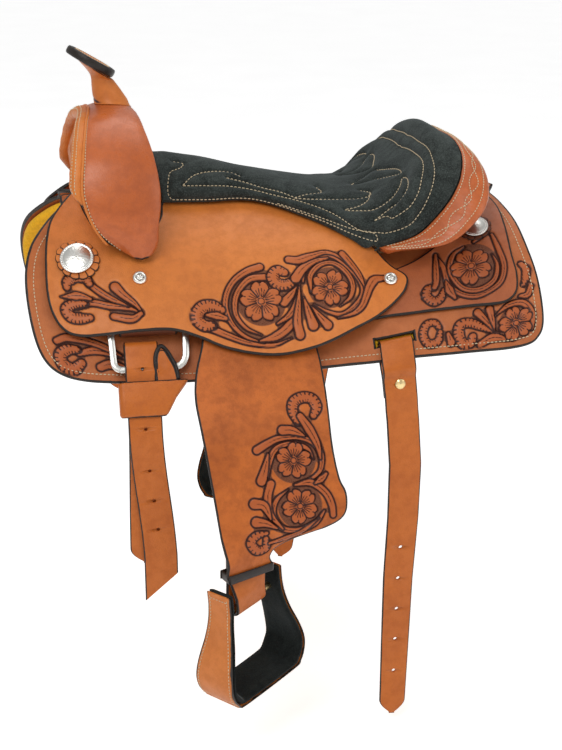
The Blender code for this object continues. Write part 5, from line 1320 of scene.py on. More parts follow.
def stirrup_rings(side, outer, inner, edge):
    """Rings of a stirrup band: a flat section with rounded edges carried along the bell."""
    top, axis, deep, rise = stirrup_frame(side)
    out_line = stirrup_outline(outer)
    count = len(out_line)
    in_line = stirrup_outline(inner)
    share = np.linspace(0.0, 1.0, count)
    in_line = at_length(in_line, lengths(in_line) / lengths(in_line)[-1], share)
    wide = smooth((out_line[:, 1] / STIRRUP_TALL - 0.2) / 0.6)
    half = (31.0 + 20.0 * wide) * MM / 2.0 - edge
    across = np.concatenate([np.linspace(-1, 1, 13), np.linspace(1, -1, 13)])
    depth = np.concatenate([np.zeros(13), np.ones(13)])
    soft = 1.0 - np.abs(across) ** 14
    mix = 0.5 + (depth - 0.5) * (0.35 + 0.65 * soft)
    line = out_line[:, None] * (1.0 - mix[None, :, None]) + in_line[:, None] * mix[None, :, None]
    rings = (top + axis * line[..., :1] - rise * line[..., 1:]
             + deep * (across[None] * half[:, None])[..., None])
    edge_value = np.clip((np.abs(across) - 0.9) / 0.08, 0.0, 1.0)
    return rings, edge_value, (out_line, top, axis, deep, rise, half)


def make_stirrup(side, name):
    """Stirrup: a tan leather cover stitched at its edges over a frame lined with black suede."""
    rings, edge, frame = stirrup_rings(side, 0.0, 2.0, 0.0)
    cover = lofted("Stirrup_cover_" + name, rings, finish("Tan Leather"), attributes={"edge": edge[None]},
                   angle=60.0)
    ride_on(cover, "stirrup_" + name, ["stirrup_cover_" + name])
    rings, edge, _ = stirrup_rings(side, 2.5, 7.5, 0.3 * MM)
    lining = lofted("Stirrup_lining_" + name, rings, finish("Stirrup Suede"),
                    attributes={"edge": 0.0 * edge[None]}, angle=60.0)
    ride_on(lining, "stirrup_" + name, ["stirrup_frame_" + name])
    line, top, axis, deep, rise, half = frame
    out = facing(sideways(unit(np.gradient(line, axis=0))), line - line.mean(0))
    normal = axis * out[:, :1] - rise * out[:, 1:]
    rows = []
    for share in (-1.0, 1.0):
        spot = top + axis * line[:, :1] - rise * line[:, 1:] + deep * (share * (half - 4.0 * MM))[:, None]
        rows.append(stitch_row(spot[1:-1], normal[1:-1], pitch=3.6, length=2.7, radius=0.5))
    for end in (1, -2):
        across = np.linspace(-1.0, 1.0, 12)[:, None] * (half[end] - 4.0 * MM)
        spot = (top + axis * line[end, 0] - rise * (line[end, 1] + 3.0 * MM)) + deep * across
        rows.append(stitch_row(spot, np.tile(normal[end], (12, 1)), pitch=3.6, length=2.7,
                               radius=0.5))
    sew("Stirrup_stitching_" + name, rows, "stirrup_" + name)


# Fork and horn

FORK_OUTER = [(116, -25), (120, 4), (115, 38), (97, 73), (62, 100), (30, 109), (0, 111)]
FORK_INNER = [(54, 22), (60, 38), (57, 58), (46, 73), (30, 82), (14, 86), (0, 87)]
FORK_FRONT = [-146, -169, -181, -178, -172, -167, -165]
FORK_REAR = [-113, -104, -100, -104, -111, -114, -117]
HORN_RINGS = [
    (-157.3, 117.5, -117.7, 117.5, 19.8), (-158.6, 126, -123.0, 125, 16.2),
    (-159.4, 136, -129.0, 134, 13.5), (-159.8, 146, -134.8, 142, 12),
    (-163.0, 153, -135.6, 143.0, 14.2), (-173.1, 165.0, -138.2, 145.0, 19)]


def fork_stations(count, low=0.0, high=1.0):
    """Stations of the fork's arch: outer point, way inwards, depth, front and rear."""
    off = np.array([(*outer, *inner, front, rear) for outer, inner, front, rear in
                    zip(FORK_OUTER, FORK_INNER, FORK_FRONT, FORK_REAR)], float) * MM
    off[:, [1, 3]] += SPINE_RISE
    many = 1201
    fine = spline_rows(np.concatenate([off * [-1, 1, -1, 1, 1, 1], off[::-1][1:]]), many)
    row = at_length(fine, np.linspace(0.0, 1.0, many), np.linspace(low, high, count))
    inward = row[:, 2:4] - row[:, 0:2]
    depth = np.linalg.norm(inward, axis=1)
    return row[:, 0:2], inward / depth[:, None], depth, row[:, 4], row[:, 5]


def fork_rings(stations, x, deep):
    """Rings of the fork from their x and their depth below its outer arch."""
    outer, inward = stations[:2]
    return np.concatenate([x[..., None], outer[:, None] + inward[:, None] * deep[..., None]], -1)


def make_swell():
    """Swell leather: bulged over the fork, pulled into wrinkles at its base, stitched to its welt."""
    count = 190
    stations = fork_stations(count)
    depth, front, rear = (value[:, None] for value in stations[2:])
    angle = np.radians(np.linspace(172, 5, 44))[None]
    h = np.linspace(0.0, 1.0, count)[:, None]
    end = np.minimum(h, 1.0 - h)
    foot = np.clip(end / 0.05, 0.0, 1.0)
    narrow = 0.6 + 0.4 * np.sqrt(1.0 - (1.0 - foot) ** 2)
    middle = (front + rear) / 2.0 + 7.0 * MM * (1.0 - smooth(end / 0.10))
    half = (rear - front) / 2.0 * narrow
    rear = middle + half
    low = 1.0 - smooth(end / 0.22)
    pull = np.sin(angle * 9.0 + 3.0 * np.sin(h * 40.0)) * smooth((np.degrees(angle) - 10) / 40) * low
    crease = np.sin(h * 150.0 + 2.2 * np.sin(angle * 3.0)) * smooth((55 - np.degrees(angle)) / 40)
    puff = 0.35 * MM * pull + 0.22 * MM * crease
    x = middle + half * np.cos(angle)
    deep = -8.0 * MM * np.sin(angle) - puff
    lip = np.minimum(depth * 0.5, 0.016)
    turn_x = np.concatenate([rear, rear - 0.8 * MM, rear - 2.2 * MM, rear - 3.0 * MM], 1)
    turn_deep = np.concatenate([lip - MM, lip, lip, lip - MM], 1)
    inner_angle = np.radians(np.linspace(5, 172, 16))[None]
    inner_x = middle + (half - 3.0 * MM) * np.cos(inner_angle)
    inner_deep = 3.0 * MM - 8.0 * MM * np.sin(inner_angle) + 0.0 * depth
    ring_x = np.concatenate([x, turn_x, inner_x], 1)
    ring_deep = np.concatenate([deep, turn_deep, inner_deep], 1)
    rings = fork_rings(stations, ring_x, ring_deep)
    edge = np.zeros(rings.shape[:2])
    edge[:, 43:48] = [[0.2, 0.75, 1.0, 1.0, 0.6]]
    feet = np.clip(1.6 - end * (count - 1), 0.0, 1.0)
    edge = np.maximum(edge, feet)
    swell = lofted("Swell_cover", rings, finish("Swell Leather"), attributes={"edge": edge})
    ride_on(swell, "saddle", ["swell_cover"])
    seam = math.radians(158.0)
    spot, beside = (fork_rings(stations, middle + half * math.cos(a),
                               -8.2 * MM * math.sin(a) + 0.0 * middle)[:, 0] for a in (seam, seam - 0.1))
    normal = facing(unit(np.cross(np.gradient(spot, axis=0), beside - spot)), spot - [-0.14, 0.0, 0.06])
    sew("Swell_stitching", [stitch_row(spot[4:-4], normal[4:-4], pitch=3.6, length=2.8)])
    make_gullet()


def make_gullet():
    """Gullet leather: a thick roll down the front of the fork, turned in under its arch."""
    count, trim, round_points = 150, 1.0 / 24.0, 25
    stations = fork_stations(count, trim, 1.0 - trim)
    depth, front, _ = (value[:, None] for value in stations[2:])
    h = np.linspace(0.0, 1.0, count)[:, None]
    wave = 0.25 * MM * np.sin(h * 170.0 + 1.2 * np.sin(h * 37.0))
    full = smooth((trim + np.minimum(h, 1.0 - h) * (1.0 - 2.0 * trim) - 0.115) / 0.07)
    angle = np.radians(np.linspace(-118, 125, round_points))[None]
    girth = 1.6 * MM + (6.6 * MM + wave) * full
    roll_x = front + 2.0 * MM - 5.6 * MM * full - girth * np.cos(angle)
    roll_deep = 1.5 * MM + 3.3 * MM * full + girth * 1.02 * np.sin(angle) + 0.0 * depth
    rest_x = front + np.array([-3.0, -1.0, 4.0, 15.0, 27.0, 27.0, 15.0, 3.0, -1.5, -1.5]) * MM
    rest_deep = (depth * np.array([0.5] + [1.0] * 8 + [0.0])
                 + np.array([7.0, 1.0, 4.0, 4.0, 4.0, 1.5, 1.5, 1.5, -1.0, 6.0]) * MM)
    rings = fork_rings(stations, np.concatenate([roll_x, rest_x], 1),
                       np.concatenate([roll_deep, rest_deep], 1))
    dyed = np.concatenate([np.repeat(1.0 - full, round_points, 1), 0.0 * rest_x], 1)
    obj = lofted("Gullet_cover", rings, finish("Tan Leather"), attributes={"edge": dyed}, angle=50.0)
    ride_on(obj, "saddle", ["gullet_cover"])
    rows = []
    for column in (5, 8):
        spot, ahead = rings[:, column], np.gradient(rings[:, column], axis=0)
        normal = unit(np.cross(ahead, rings[:, column + 1] - rings[:, column - 1]))
        normal = facing(normal, spot - rings[:, 12] - (rings[:, 26] - rings[:, 12]) * 0.3)
        rows.append(stitch_row(spot[21:-21], normal[21:-21], pitch=3.6, length=2.8, radius=0.5))
    sew("Gullet_stitching", rows)
    angle = full_turn(10)[None]
    x = front + 0.6 * MM + 1.5 * MM * np.cos(angle)
    deep = -3.6 * MM + 1.5 * MM * np.sin(angle) + 0.0 * x
    welt = lofted("Welt", fork_rings(stations, x, deep), finish("Tan Leather"))
    ride_on(welt, "saddle", ["welt"])


def make_horn():
    """Horn: its neck is wrapped in turns of leather, its cap has a black rolled edge."""
    rows = np.array(HORN_RINGS) * MM
    rows[:, [1, 3]] += SPINE_RISE
    count, around = 60, 56
    rows = spline_rows(rows, count)
    angle = full_turn(around)[None, :, None]

    def oval(inset):
        front = np.stack([rows[:, 0], 0.0 * rows[:, 0], rows[:, 1]], -1)
        rear = np.stack([rows[:, 2], 0.0 * rows[:, 0], rows[:, 3]], -1)
        middle, along = (front + rear)[:, None] / 2.0, (rear - front)[:, None] / 2.0
        inset = np.asarray(inset)
        along = along - unit(along) * inset[..., None]
        across = (rows[:, 4][:, None, None] - inset[..., None]) * np.array([0.0, 1.0, 0.0])
        return middle + along * np.cos(angle) + across * np.sin(angle)
    height = np.linspace(0.0, 1.0, count)[:, None]
    turns = (height * 0.9 + angle[..., 0] / (2.0 * math.pi) + 0.4) % 1.0
    lap = 0.7 * MM * (1.0 - smooth(turns / 0.12)) * smooth(height / 0.1)
    outer, inner = oval(lap + 0.1 * MM), oval(np.full((count, around), 2.5 * MM))
    ys, zs = np.transpose(FORK_OUTER[::-1]) * MM
    for ring in (outer, inner):
        first = ring[0]
        across = np.clip((first[:, 0] + 0.141) / 0.024, -1.0, 1.0)
        floor = np.interp(np.abs(first[:, 1]), ys, zs) + 8.0 * MM * np.sqrt(1.0 - across ** 2) + SPINE_RISE
        drop = (floor + 0.9 * MM - first[:, 2])[None] * (1.0 - smooth(height / 0.16))
        ring[..., 2] += drop
    cut = np.exp(-((turns - 0.04) / 0.05) ** 2) * smooth(height / 0.1)
    both = np.concatenate([cut, np.zeros_like(cut)])
    wrap = lofted("Horn_wrap", np.concatenate([outer, inner[::-1]]), finish("Tan Leather"), closed_path=True,
                  attributes={"cut": both})
    ride_on(wrap, "saddle", ["horn_wrap"])
    tilt = math.radians(HORN_TILT)
    axis = np.array([math.sin(tilt), 0.0, math.cos(tilt)])
    middle = np.array([HORN_CAP_X, 0.0, HORN_CAP_Z + SPINE_RISE])
    top = [(0.0, 0.6), (6, 0.6), (12, 0.5), (18, 0.3), (21.5, 0.1), (22.2, -0.35), (22.9, 0.2), (24.5, 0.6)]
    bend = [(HORN_CAP_ROUND - 1.6 + 1.6 * math.cos(a), -4.0 + 4.2 * math.sin(a)) for a in
            np.radians([75, 60, 45, 25, 0, -25, -45, -60, -80])]
    under = [(25.0, -8.4), (20.0, -8.5), (0.0, -8.5)]
    profile = np.array(top + bend + under) * MM
    rings = turned_rings(profile, middle, axis, 96)
    edge = np.concatenate([np.zeros(5), [0.5, 0.9], np.ones(len(profile) - 9), [0.3, 0.0]])
    cap = lofted("Horn_cap", rings, finish("Tan Leather"), attributes={"edge": edge[:, None]})
    ride_on(cap, "saddle", ["horn_cap"])
    ring = middle + 19.8 * MM * circle(axis, np.linspace(0.0, 2.0 * math.pi, 121)) + axis * 0.25 * MM
    sew("Horn_stitching", [stitch_row(ring, np.tile(axis, (121, 1)), pitch=3.1, length=2.3)])


# Seat, cantle and roll

QUILTING = [
    [(5, -26), (8, -27), (7, -39), (4, -49), (3, -60), (2, -85), (3, -97)],
    [(7, -73), (11, -51), (17, -37), (23, -32), (26, -40)],
    [(7, -73), (19, -69), (26, -71), (33, -74), (38, -72), (42, -74), (47, -79), (56, -90), (68, -93),
     (85, -89), (93, -80), (94, -71), (93, -56), (91, -41), (87, -26), (82, -14), (80, 0)],
    [(21, -49), (27, -55), (31, -61), (35, -61), (38, -66)],
    [(38, -68), (41, -52), (45, -40), (44, -28)],
    [(38, -68), (44, -58), (51, -49), (58, -45), (59, -39), (56, -31)],
    [(59, -39), (58, -51), (55, -60), (51, -69), (56, -67), (62, -69), (68, -65), (71, -54), (72, -44),
     (77, -48), (81, -56), (78, -67), (69, -79), (64, -85)],
    [(64, -85), (79, -81), (88, -69), (89, -58), (87, -45), (84, -32), (79, -21), (76, -5), (76, 0)],
    [(55, -14), (63, -4), (67, -16), (71, -31), (71, -37), (67, -32), (61, -20), (55, -18), (55, -14)]]


def quilt_lines(grid):
    """Sewn lines of the seat as points on its surface, for both halves, and their places in it."""
    count_u, count_v = grid.shape[:2]
    lines = [curve(line, 0.6) for line in QUILTING]
    edge = np.stack([np.linspace(3.0, 86.0, 120), np.full(120, -96.5)], -1)
    second = np.stack([np.linspace(34.0, 86.0, 80), np.interp(np.linspace(34, 86, 80), [34, 60, 80, 86],
                                                              [-93.5, -92, -94, -96.5])], -1)
    lines += [edge, second]
    lines += [line * [1.0, -1.0] for line in lines]
    made = []
    for line in lines:
        u = np.clip(line[:, 0] / 100.0 * (count_u - 1), 0, count_u - 1.001)
        v = np.clip((line[:, 1] + 100.0) / 200.0 * (count_v - 1), 0, count_v - 1.001)
        i, j = u.astype(int), v.astype(int)
        s, t = (u - i)[:, None], (v - j)[:, None]
        made.append((1 - s) * ((1 - t) * grid[i, j] + t * grid[i, j + 1])
                    + s * ((1 - t) * grid[i + 1, j] + t * grid[i + 1, j + 1]))
    return made


def grid_normal(grid):
    """Upward normals of a grid from its differences along both ways."""
    return unit(np.cross(np.gradient(grid, axis=0), np.gradient(grid, axis=1)))


def line_distance(points, lines):
    """Distance from each point to the nearest of many line points, in blocks."""
    spots = np.concatenate([at_length(line, lengths(line), np.arange(0.0, lengths(line)[-1], 1.6 * MM))
                            for line in lines])
    least = np.empty(len(points))
    for start in range(0, len(points), 4000):
        part = points[start:start + 4000]
        square = (part ** 2).sum(1)[:, None] - 2.0 * part @ spots.T + (spots ** 2).sum(1)[None]
        least[start:start + 4000] = np.sqrt(np.maximum(square.min(1), 0.0))
    return least


def make_seat():
    """Seat: foam under suede, sewn down along quilted lines so that it swells between them.

    Height falls by an exponential of the distance to the nearest line, and rises slowly
    away from it. The edge is rolled under. Small wrinkles cross the sewn lines.
    """
    count_u, count_v = 190, 230
    grid = seat_surface(count_u, count_v)
    normal = grid_normal(grid)
    lines = quilt_lines(grid)
    away = line_distance(grid.reshape(-1, 3), lines).reshape(count_u, count_v)
    u = np.linspace(0.0, 1.0, count_u)[:, None]
    v = np.linspace(-1.0, 1.0, count_v)[None, :]
    inside = smooth((1.0 - np.abs(v)) / 0.10) * smooth(u / 0.04) * smooth((1.0 - u) / 0.06)
    puff = 3.4 * MM * (1.0 - np.exp(-away / (7.5 * MM))) - 2.2 * MM * np.exp(-(away / (2.0 * MM)) ** 2)
    pucker = 0.35 * MM * np.sin(u * 260.0) * np.sin(v * 210.0) * np.exp(-away / (4.0 * MM))
    round_off = 3.0 * MM * (1.0 - smooth((1.0 - np.abs(v)) / 0.035))
    top = grid + normal * ((puff + pucker) * (0.25 + 0.75 * inside) - round_off - 0.3 * MM)[..., None]
    quads, border = grid_faces(count_u, count_v)
    spot, way = top.reshape(-1, 3)[border], normal.reshape(-1, 3)[border]
    along = unit(np.roll(spot, -1, 0) - np.roll(spot, 1, 0))
    out = facing(unit(np.cross(along, way)), spot - grid.reshape(-1, 3).mean(0))
    rings = [spot + out * a * MM - way * b * MM for a, b in
             ((0.4, 0.6), (0.5, 1.6), (0.4, 3.0), (0.0, 4.2), (-1.2, 5.0), (-4.0, 5.3))]
    verts = np.concatenate([top.reshape(-1, 3)] + rings)
    chain, total = [border], len(border)
    chain += [count_u * count_v + n * total + np.arange(total) for n in range(len(rings))]
    walls = [np.stack([a, np.roll(a, -1), np.roll(b, -1), b], 1) for a, b in zip(chain, chain[1:])]
    obj = make_object("Seat_suede", verts, [np.concatenate([quads] + walls)], finish("Black Suede"))
    ride_on(obj, "saddle", ["seat_pad"])
    few = 60
    coarse = seat_surface(few, few)
    ways = grid_normal(coarse)
    cu, cv = np.linspace(0.0, 1.0, few)[:, None], np.linspace(-1.0, 1.0, few)[None, :]
    core = smooth((1.0 - np.abs(cv)) / 0.22) * smooth(cu / 0.05) * smooth((1.0 - cu) / 0.40)
    upper = coarse - ways * (2.9 * MM)
    lower = coarse - ways * (6.0 * MM + 8.0 * MM * core)[..., None]
    inner = (slice(2, few - 2),) * 2
    foam = shell("Seat_foam", upper[inner], lower[inner], finish("Dark Leather"))
    ride_on(foam, "saddle")
    rows = []
    for line in lines:
        nearby = ((line[:, None] - grid.reshape(-1, 3)[None, ::7]) ** 2).sum(2).argmin(1) * 7
        up = normal.reshape(-1, 3)[nearby]
        sunk = line - up * 1.35 * MM
        rows.append(stitch_row(sunk, up, pitch=4.4, length=3.4, radius=0.55))
    sew("Seat_stitching", rows)


def grid_faces(rows, columns):
    """Cells of a grid of points, and the points along its border in order."""
    i, j = np.meshgrid(np.arange(rows - 1), np.arange(columns - 1), indexing="ij")
    k = i * columns + j
    quads = np.stack([k, k + 1, k + columns + 1, k + columns], -1).reshape(-1, 4)
    border = np.concatenate([np.arange(rows) * columns, (rows - 1) * columns + np.arange(1, columns),
                             (np.arange(rows - 1) * columns + columns - 1)[::-1],
                             np.arange(1, columns - 1)[::-1]])
    return quads, border


def shell(name, top, bottom, material):
    """Closed body between two equal grids of points."""
    rows, columns = top.shape[:2]
    quads, border = grid_faces(rows, columns)
    wall = np.stack([border, np.roll(border, -1), np.roll(border, -1) + rows * columns,
                     border + rows * columns], 1)
    verts = np.concatenate([top.reshape(-1, 3), bottom.reshape(-1, 3)])
    faces = [np.concatenate([quads, quads[:, ::-1] + rows * columns, wall])]
    return make_object(name, verts, faces, material, {"edge": np.zeros(len(verts))})


def make_roll():
    """Cantle roll: padded leather from the seat's edge outwards, rounded under at its rim."""
    count = 230
    grid = seat_surface(60, count)
    edge, normal = grid[-1], grid_normal(grid)[-1]
    outer = lifted(ROLL_EDGE)
    outer = spline_rows(np.concatenate([(outer[::-1] * [1.0, -1.0, 1.0])[:-1], outer]), count)
    outward = unit((outer - edge) - normal * ((outer - edge) * normal).sum(1, keepdims=True))
    start = edge + outward * 1.1 * MM
    v = np.linspace(-1.0, 1.0, count)
    wave = np.sin(v * 190.0 + 2.0 * np.sin(v * 31.0)) * 0.18 * MM

    def at(share, rise):
        return start + (outer - start) * share + normal * (rise * MM + wave * share)[..., None]
    rows = [at(s, r) for s, r in (
        (-0.10, -5.8), (0.0, -5.6), (0.0, -3.0), (0.0, -1.2), (0.02, 0.0), (0.06, 0.9), (0.15, 1.8),
        (0.3, 2.9), (0.45, 3.6), (0.6, 3.8), (0.72, 3.5), (0.82, 2.8), (0.90, 1.8), (0.97, 0.4),
        (1.02, -1.2), (1.04, -3.0), (1.03, -4.8), (0.98, -6.2), (0.90, -7.0), (0.7, -7.0), (0.4, -6.8),
        (0.0, -6.6), (-0.10, -6.6))]
    rings = np.stack(rows, 1)
    edge_value = np.zeros(len(rows))
    edge_value[:5] = [1, 1, 1, 1, 0.7]
    obj = lofted("Cantle_roll", rings, finish("Swell Leather"), attributes={"edge": edge_value[None]})
    ride_on(obj, "saddle", ["cheyenne_roll"])
    stitch = []
    for share, wiggle in ((0.11, 0.0), (0.42, 0.11), (0.50, -0.11), (0.80, 0.0)):
        way = share + wiggle * np.sin(v * 30.0)
        rise = np.interp(way, [0.06, 0.15, 0.3, 0.45, 0.6, 0.72, 0.82], [0.9, 1.8, 2.9, 3.6, 3.8, 3.5, 2.8])
        line = start + (outer - start) * way[:, None] + normal * ((rise + 0.15) * MM + wave * share)[:, None]
        stitch.append(stitch_row(line[3:-3], normal[3:-3], pitch=3.5, length=2.6))
    sew("Roll_stitching", stitch)


# Dees, straps and metal

def strap_frame(x, d, side):
    """Level way, way down, outward normal and skew in x at a place on the barrel."""
    step = MM
    here = barrel(x, d, 0.0, side)
    along = (barrel(x + step, d, 0.0, side) - here) / step
    below = (barrel(x, d + step, 0.0, side) - here) / step
    normal = unit(np.cross(along, below))
    normal = normal * (1.0 if normal[2] > 0.0 else -1.0)
    level = unit(np.cross(normal, [0.0, 0.0, 1.0]))
    level = level * (1.0 if level[0] > 0.0 else -1.0)
    down = unit(np.cross(normal, level))
    down = down * (-1.0 if down[2] > 0.0 else 1.0)
    return level, down, normal, -(below @ level) / (along @ level)


def dee_place(side):
    """Middle of the dee's top bar, its level way, way down and outward normal."""
    spot = barrel(DEE_X, DEE_D, GAP + STRAP_T + 4.5 * MM, side)
    level, down, normal, _ = strap_frame(DEE_X, DEE_D + DEE_DEEP * 0.6, side)
    return spot, level, down, normal


def latigo_frame(t, side):
    """Point, way and outward normal t below the dee: along the skirt, then hanging."""
    spot, aft, down, normal = dee_place(side)
    bar = spot + down * DEE_DEEP + aft * (-9.0 * MM if side < 0 else 0.0)
    hang = unit(np.array([0.0, side * 0.06, -1.0]))
    hang = unit(hang - aft * (hang @ aft))
    steps = np.linspace(0.0, 0.26, 521)
    share = smooth((steps - 0.012) / 0.073)[:, None]
    ways = unit(down * (1.0 - share) + hang * share)
    run = np.concatenate([[[0.0] * 3], np.cumsum((ways[1:] + ways[:-1]) / 2.0 * steps[1], axis=0)])
    t = np.asarray(t, float)
    point = bar + at_length(run, steps, t)
    point = point + down * np.minimum(t, 0.0)[..., None]
    way = unit(at_length(ways, steps, t))
    out = unit(np.cross(way, aft))
    return point, way, out * np.sign((out @ normal))[..., None], aft


def make_dee(side, name):
    """Dee: a flat nickel band bent to a rounded trapezium, and its leather rigging strap."""
    spot, aft, down, normal = dee_place(side)
    corners = [(-39, 0), (39, 0), (37, 43), (-37, 43)]
    loop = band_round(corners, [7, 7, 16, 9], 9)
    loop = curve(loop, 2.0, closed=True)
    out = out_of_loop(loop)
    section = np.array([(-1, -.5), (-.96, -.8), (-.85, -1), (0, -1.05), (.85, -1), (.96, -.8), (1, -.5),
                        (1, .5), (.96, .8), (.85, 1), (0, 1.1), (-.85, 1), (-.96, .8), (-1, .5)])
    flat = loop[:, None] + out[:, None] * section[None, :, :1] * 3.5
    rings = (spot + aft * flat[..., :1] * MM + down * flat[..., 1:] * MM
             + normal * (section[None, :, 1:] * 1.75 * MM))
    obj = lofted("Dee_" + name, rings, finish("Nickel"), closed_path=True, angle=40.0)
    ride_on(obj, "dee_" + name, ["front_dee_" + name])
    skew = strap_frame(DEE_X, DEE_D, side)[3]
    path, across = [], []
    for d in (0.135, 0.155, 0.172):
        x = DEE_X + skew * (d - DEE_D)
        path.append(barrel(x, d, GAP + 0.4 * MM + STRAP_T / 2.0, side))
        across.append(strap_frame(x, d, side)[0])
    for angle in np.radians([-80, -40, 0, 40, 80]):
        path.append(spot + down * DEE_TURN * math.cos(angle) + normal * DEE_TURN * math.sin(angle))
    path.append(spot - down * 14.0 * MM + normal * DEE_TURN * 0.9)
    path, across = curve(path, 2.0 * MM), np.concatenate([across, np.tile(aft, (6, 1))])
    ways = at_length(across, np.arange(9), np.linspace(0, 8, len(path)))
    rigging = strap("Rigging_strap_" + name, path, ways, RIGGING_WIDE, STRAP_T, finish("Dark Leather"))
    ride_on(rigging, "saddle", ["rigging_strap_" + name])


def strap_on_dee(name, side, length, back, leans, width, material, rise=0.0, slant=0.0):
    """Strap doubled round the dee's bottom bar, with a front and a rear strand, and rounded tips."""
    close = (STRAP_T + 0.5 * MM) / 2.0

    def strand(t, share, lean):
        point, _, out, aft = latigo_frame(t, side)
        gap = close + (DEE_TURN - close) * (1.0 - smooth(t / 0.013))
        curl = 1.6 * MM * np.sin(t * 38.0) * smooth((t - 0.06) / 0.05)
        lean_here = lean * smooth((t - 0.060) / 0.150)
        return point + out * (gap * share + curl)[:, None] + aft * lean_here[:, None]
    rear = strand(np.linspace(back, rise + 0.005, int(back / 0.003)), -1.0, leans[0])
    front = strand(np.linspace(rise + 0.005, length, int(length / 0.003)), 1.0, leans[1])
    point, way, out, aft = latigo_frame(np.array(rise), side)
    a = np.radians(np.linspace(-80, 80, 11))[:, None]
    turn = point - way * DEE_TURN * np.cos(a) + out * DEE_TURN * np.sin(a)
    path = np.concatenate([rear, turn, front])
    obj = strap(name, path, aft, width, STRAP_T, material, tips=(True, not slant), slant=slant)
    return obj, strand


def bend_at_bar(obj, side):
    """The part above the dee's bottom bar stays with the dee, and the rest swings with the strap."""
    point, way, _, _ = latigo_frame(np.array(0.0), side)
    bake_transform(obj)


def make_latigo():
    """Near latigo: a strap knotted on the dee, its loop, its fold and the turn that holds them."""
    side = -1
    obj, strand = strap_on_dee("Latigo", side, 0.250, 0.208, (-3.0 * MM, 11.0 * MM), LATIGO_WIDE,
                               finish("Billet Leather"), rise=-0.021, slant=0.03)
    out = latigo_frame(np.array([0.1]), side)[2]
    spots = strand(np.array([0.001, 0.062, 0.107, 0.140, 0.171]), 1.0, 11.0 * MM)
    punch(obj, spots, out[0], 1.9 * MM, 2.1 * MM)
    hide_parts("latigo")
    bend_at_bar(obj, side)
    room = STRAP_T + 0.25 * MM + 0.5 * MM
    t = STRAP_T / 2.0
    steps = np.linspace(-1.0, 1.0, 15)
    soft = 1.0 - np.abs(steps) ** 12
    lines = []
    for step in steps:
        share = (step + 1.0) / 2.0
        at = np.array(14.0 * MM + 36.0 * MM * share)
        point, _, out, aft = latigo_frame(at, side)
        rear = float(np.interp(share, [0.0, 0.5, 1.0], [44.0, 30.0, 19.5])) * MM
        front, rear, tall = -0.022 - t, rear + t, room + t
        corners = [(front, -tall), (rear, -tall), (rear, tall), (front, tall)]
        loop = band_round(corners, [t + 1.6 * MM, t + 1.6 * MM, t + 1.6 * MM, t + 2.5 * MM], 6)
        lines.append((loop, point, out, aft))
    loops, points, outs, afts = (np.stack(column) for column in zip(*lines))
    points, outs, afts = points[:, None], outs[:, None], afts[:, None]
    away = out_of_loop(loops, 1)
    half = t * (0.15 + 0.85 * np.sqrt(soft))[:, None, None]

    def lay(offset):
        flat = loops + away * offset
        return points + afts * flat[..., :1] + outs * flat[..., 1:]
    rings = np.concatenate([lay(half), lay(-half)[::-1]])
    edge = (np.abs(steps) > 0.93).astype(float)
    wrap = lofted("Latigo_turn", rings, finish("Billet Leather"), closed_path=True,
                  attributes={"edge": np.concatenate([edge, edge[::-1]])[:, None]})
    ride_on(wrap, "latigo", ["latigo_wrap"])
    make_latigo_fold(side)


def make_latigo_fold(side):
    """Fold of the knot beside its loop: a tongue that rises from the turn and leans out.

    Its burnished edge is a round black bead along its free sides.
    """
    outline = [(14, 22), (14, 0), (15, -12), (20, -21), (25, -17), (30, -8), (34, 1), (36, 12), (35, 22)]
    flat = flat_sheet("latigo_fold", outline, [(8, 54, 1.5)], [(-32, 28, 1.5)], 1.7 * MM)

    def place(a, t, off):
        point, _, out, aft = latigo_frame(t, side)
        return point + aft * a[..., None] + out * off[..., None]

    def low(a, t):
        return 1.9 * MM + 4.1 * MM * (1.0 - smooth((a - 0.016) / 0.012)) * (1.0 - smooth((t + 0.004) / 0.014))

    def high(a, t):
        return low(a, t) + 3.4 * MM
    fold = bent_sheet("Latigo_fold", flat, low, high, place, finish("Billet Leather"))
    bend_at_bar(fold, side)
    line = [(14.5, 18), (13.5, 0), (14.5, -13), (20, -22), (26, -18), (31, -9), (35, 1), (36.5, 13)]
    line = curve(line, 1.2) * MM
    across = sideways(unit(np.gradient(line, axis=0)))
    angle = full_turn(12)[None]
    a = line[:, :1] + across[:, :1] * 2.1 * MM * np.cos(angle)
    t = line[:, 1:] + across[:, 1:] * 2.1 * MM * np.cos(angle)
    middle = low(line[:, 0], line[:, 1])[:, None] + 1.7 * MM
    rings = place(a, t, middle + 2.3 * MM * np.sin(angle))
    bead = lofted("Latigo_fold_edge", rings, finish("Black Leather"))
    bend_at_bar(bead, side)


def make_off_billet():
    """Off billet: a short doubled strap on the dee, held by a rivet and punched with holes."""
    obj, strand = strap_on_dee("Off_billet", 1, 0.150, 0.118, (0.0, 0.0), LATIGO_WIDE,
                               finish("Billet Leather"))
    point, _, out, _ = latigo_frame(np.array([0.036, 0.1]), 1)
    spots = np.concatenate([point[:1], strand(np.array([0.075, 0.095, 0.115]), 0.0, 0.0)])
    punch(obj, spots, np.stack([out[0]] + [out[1]] * 3), 2.4 * MM)
    ride_on(obj, "off_billet", ["off_billet"])


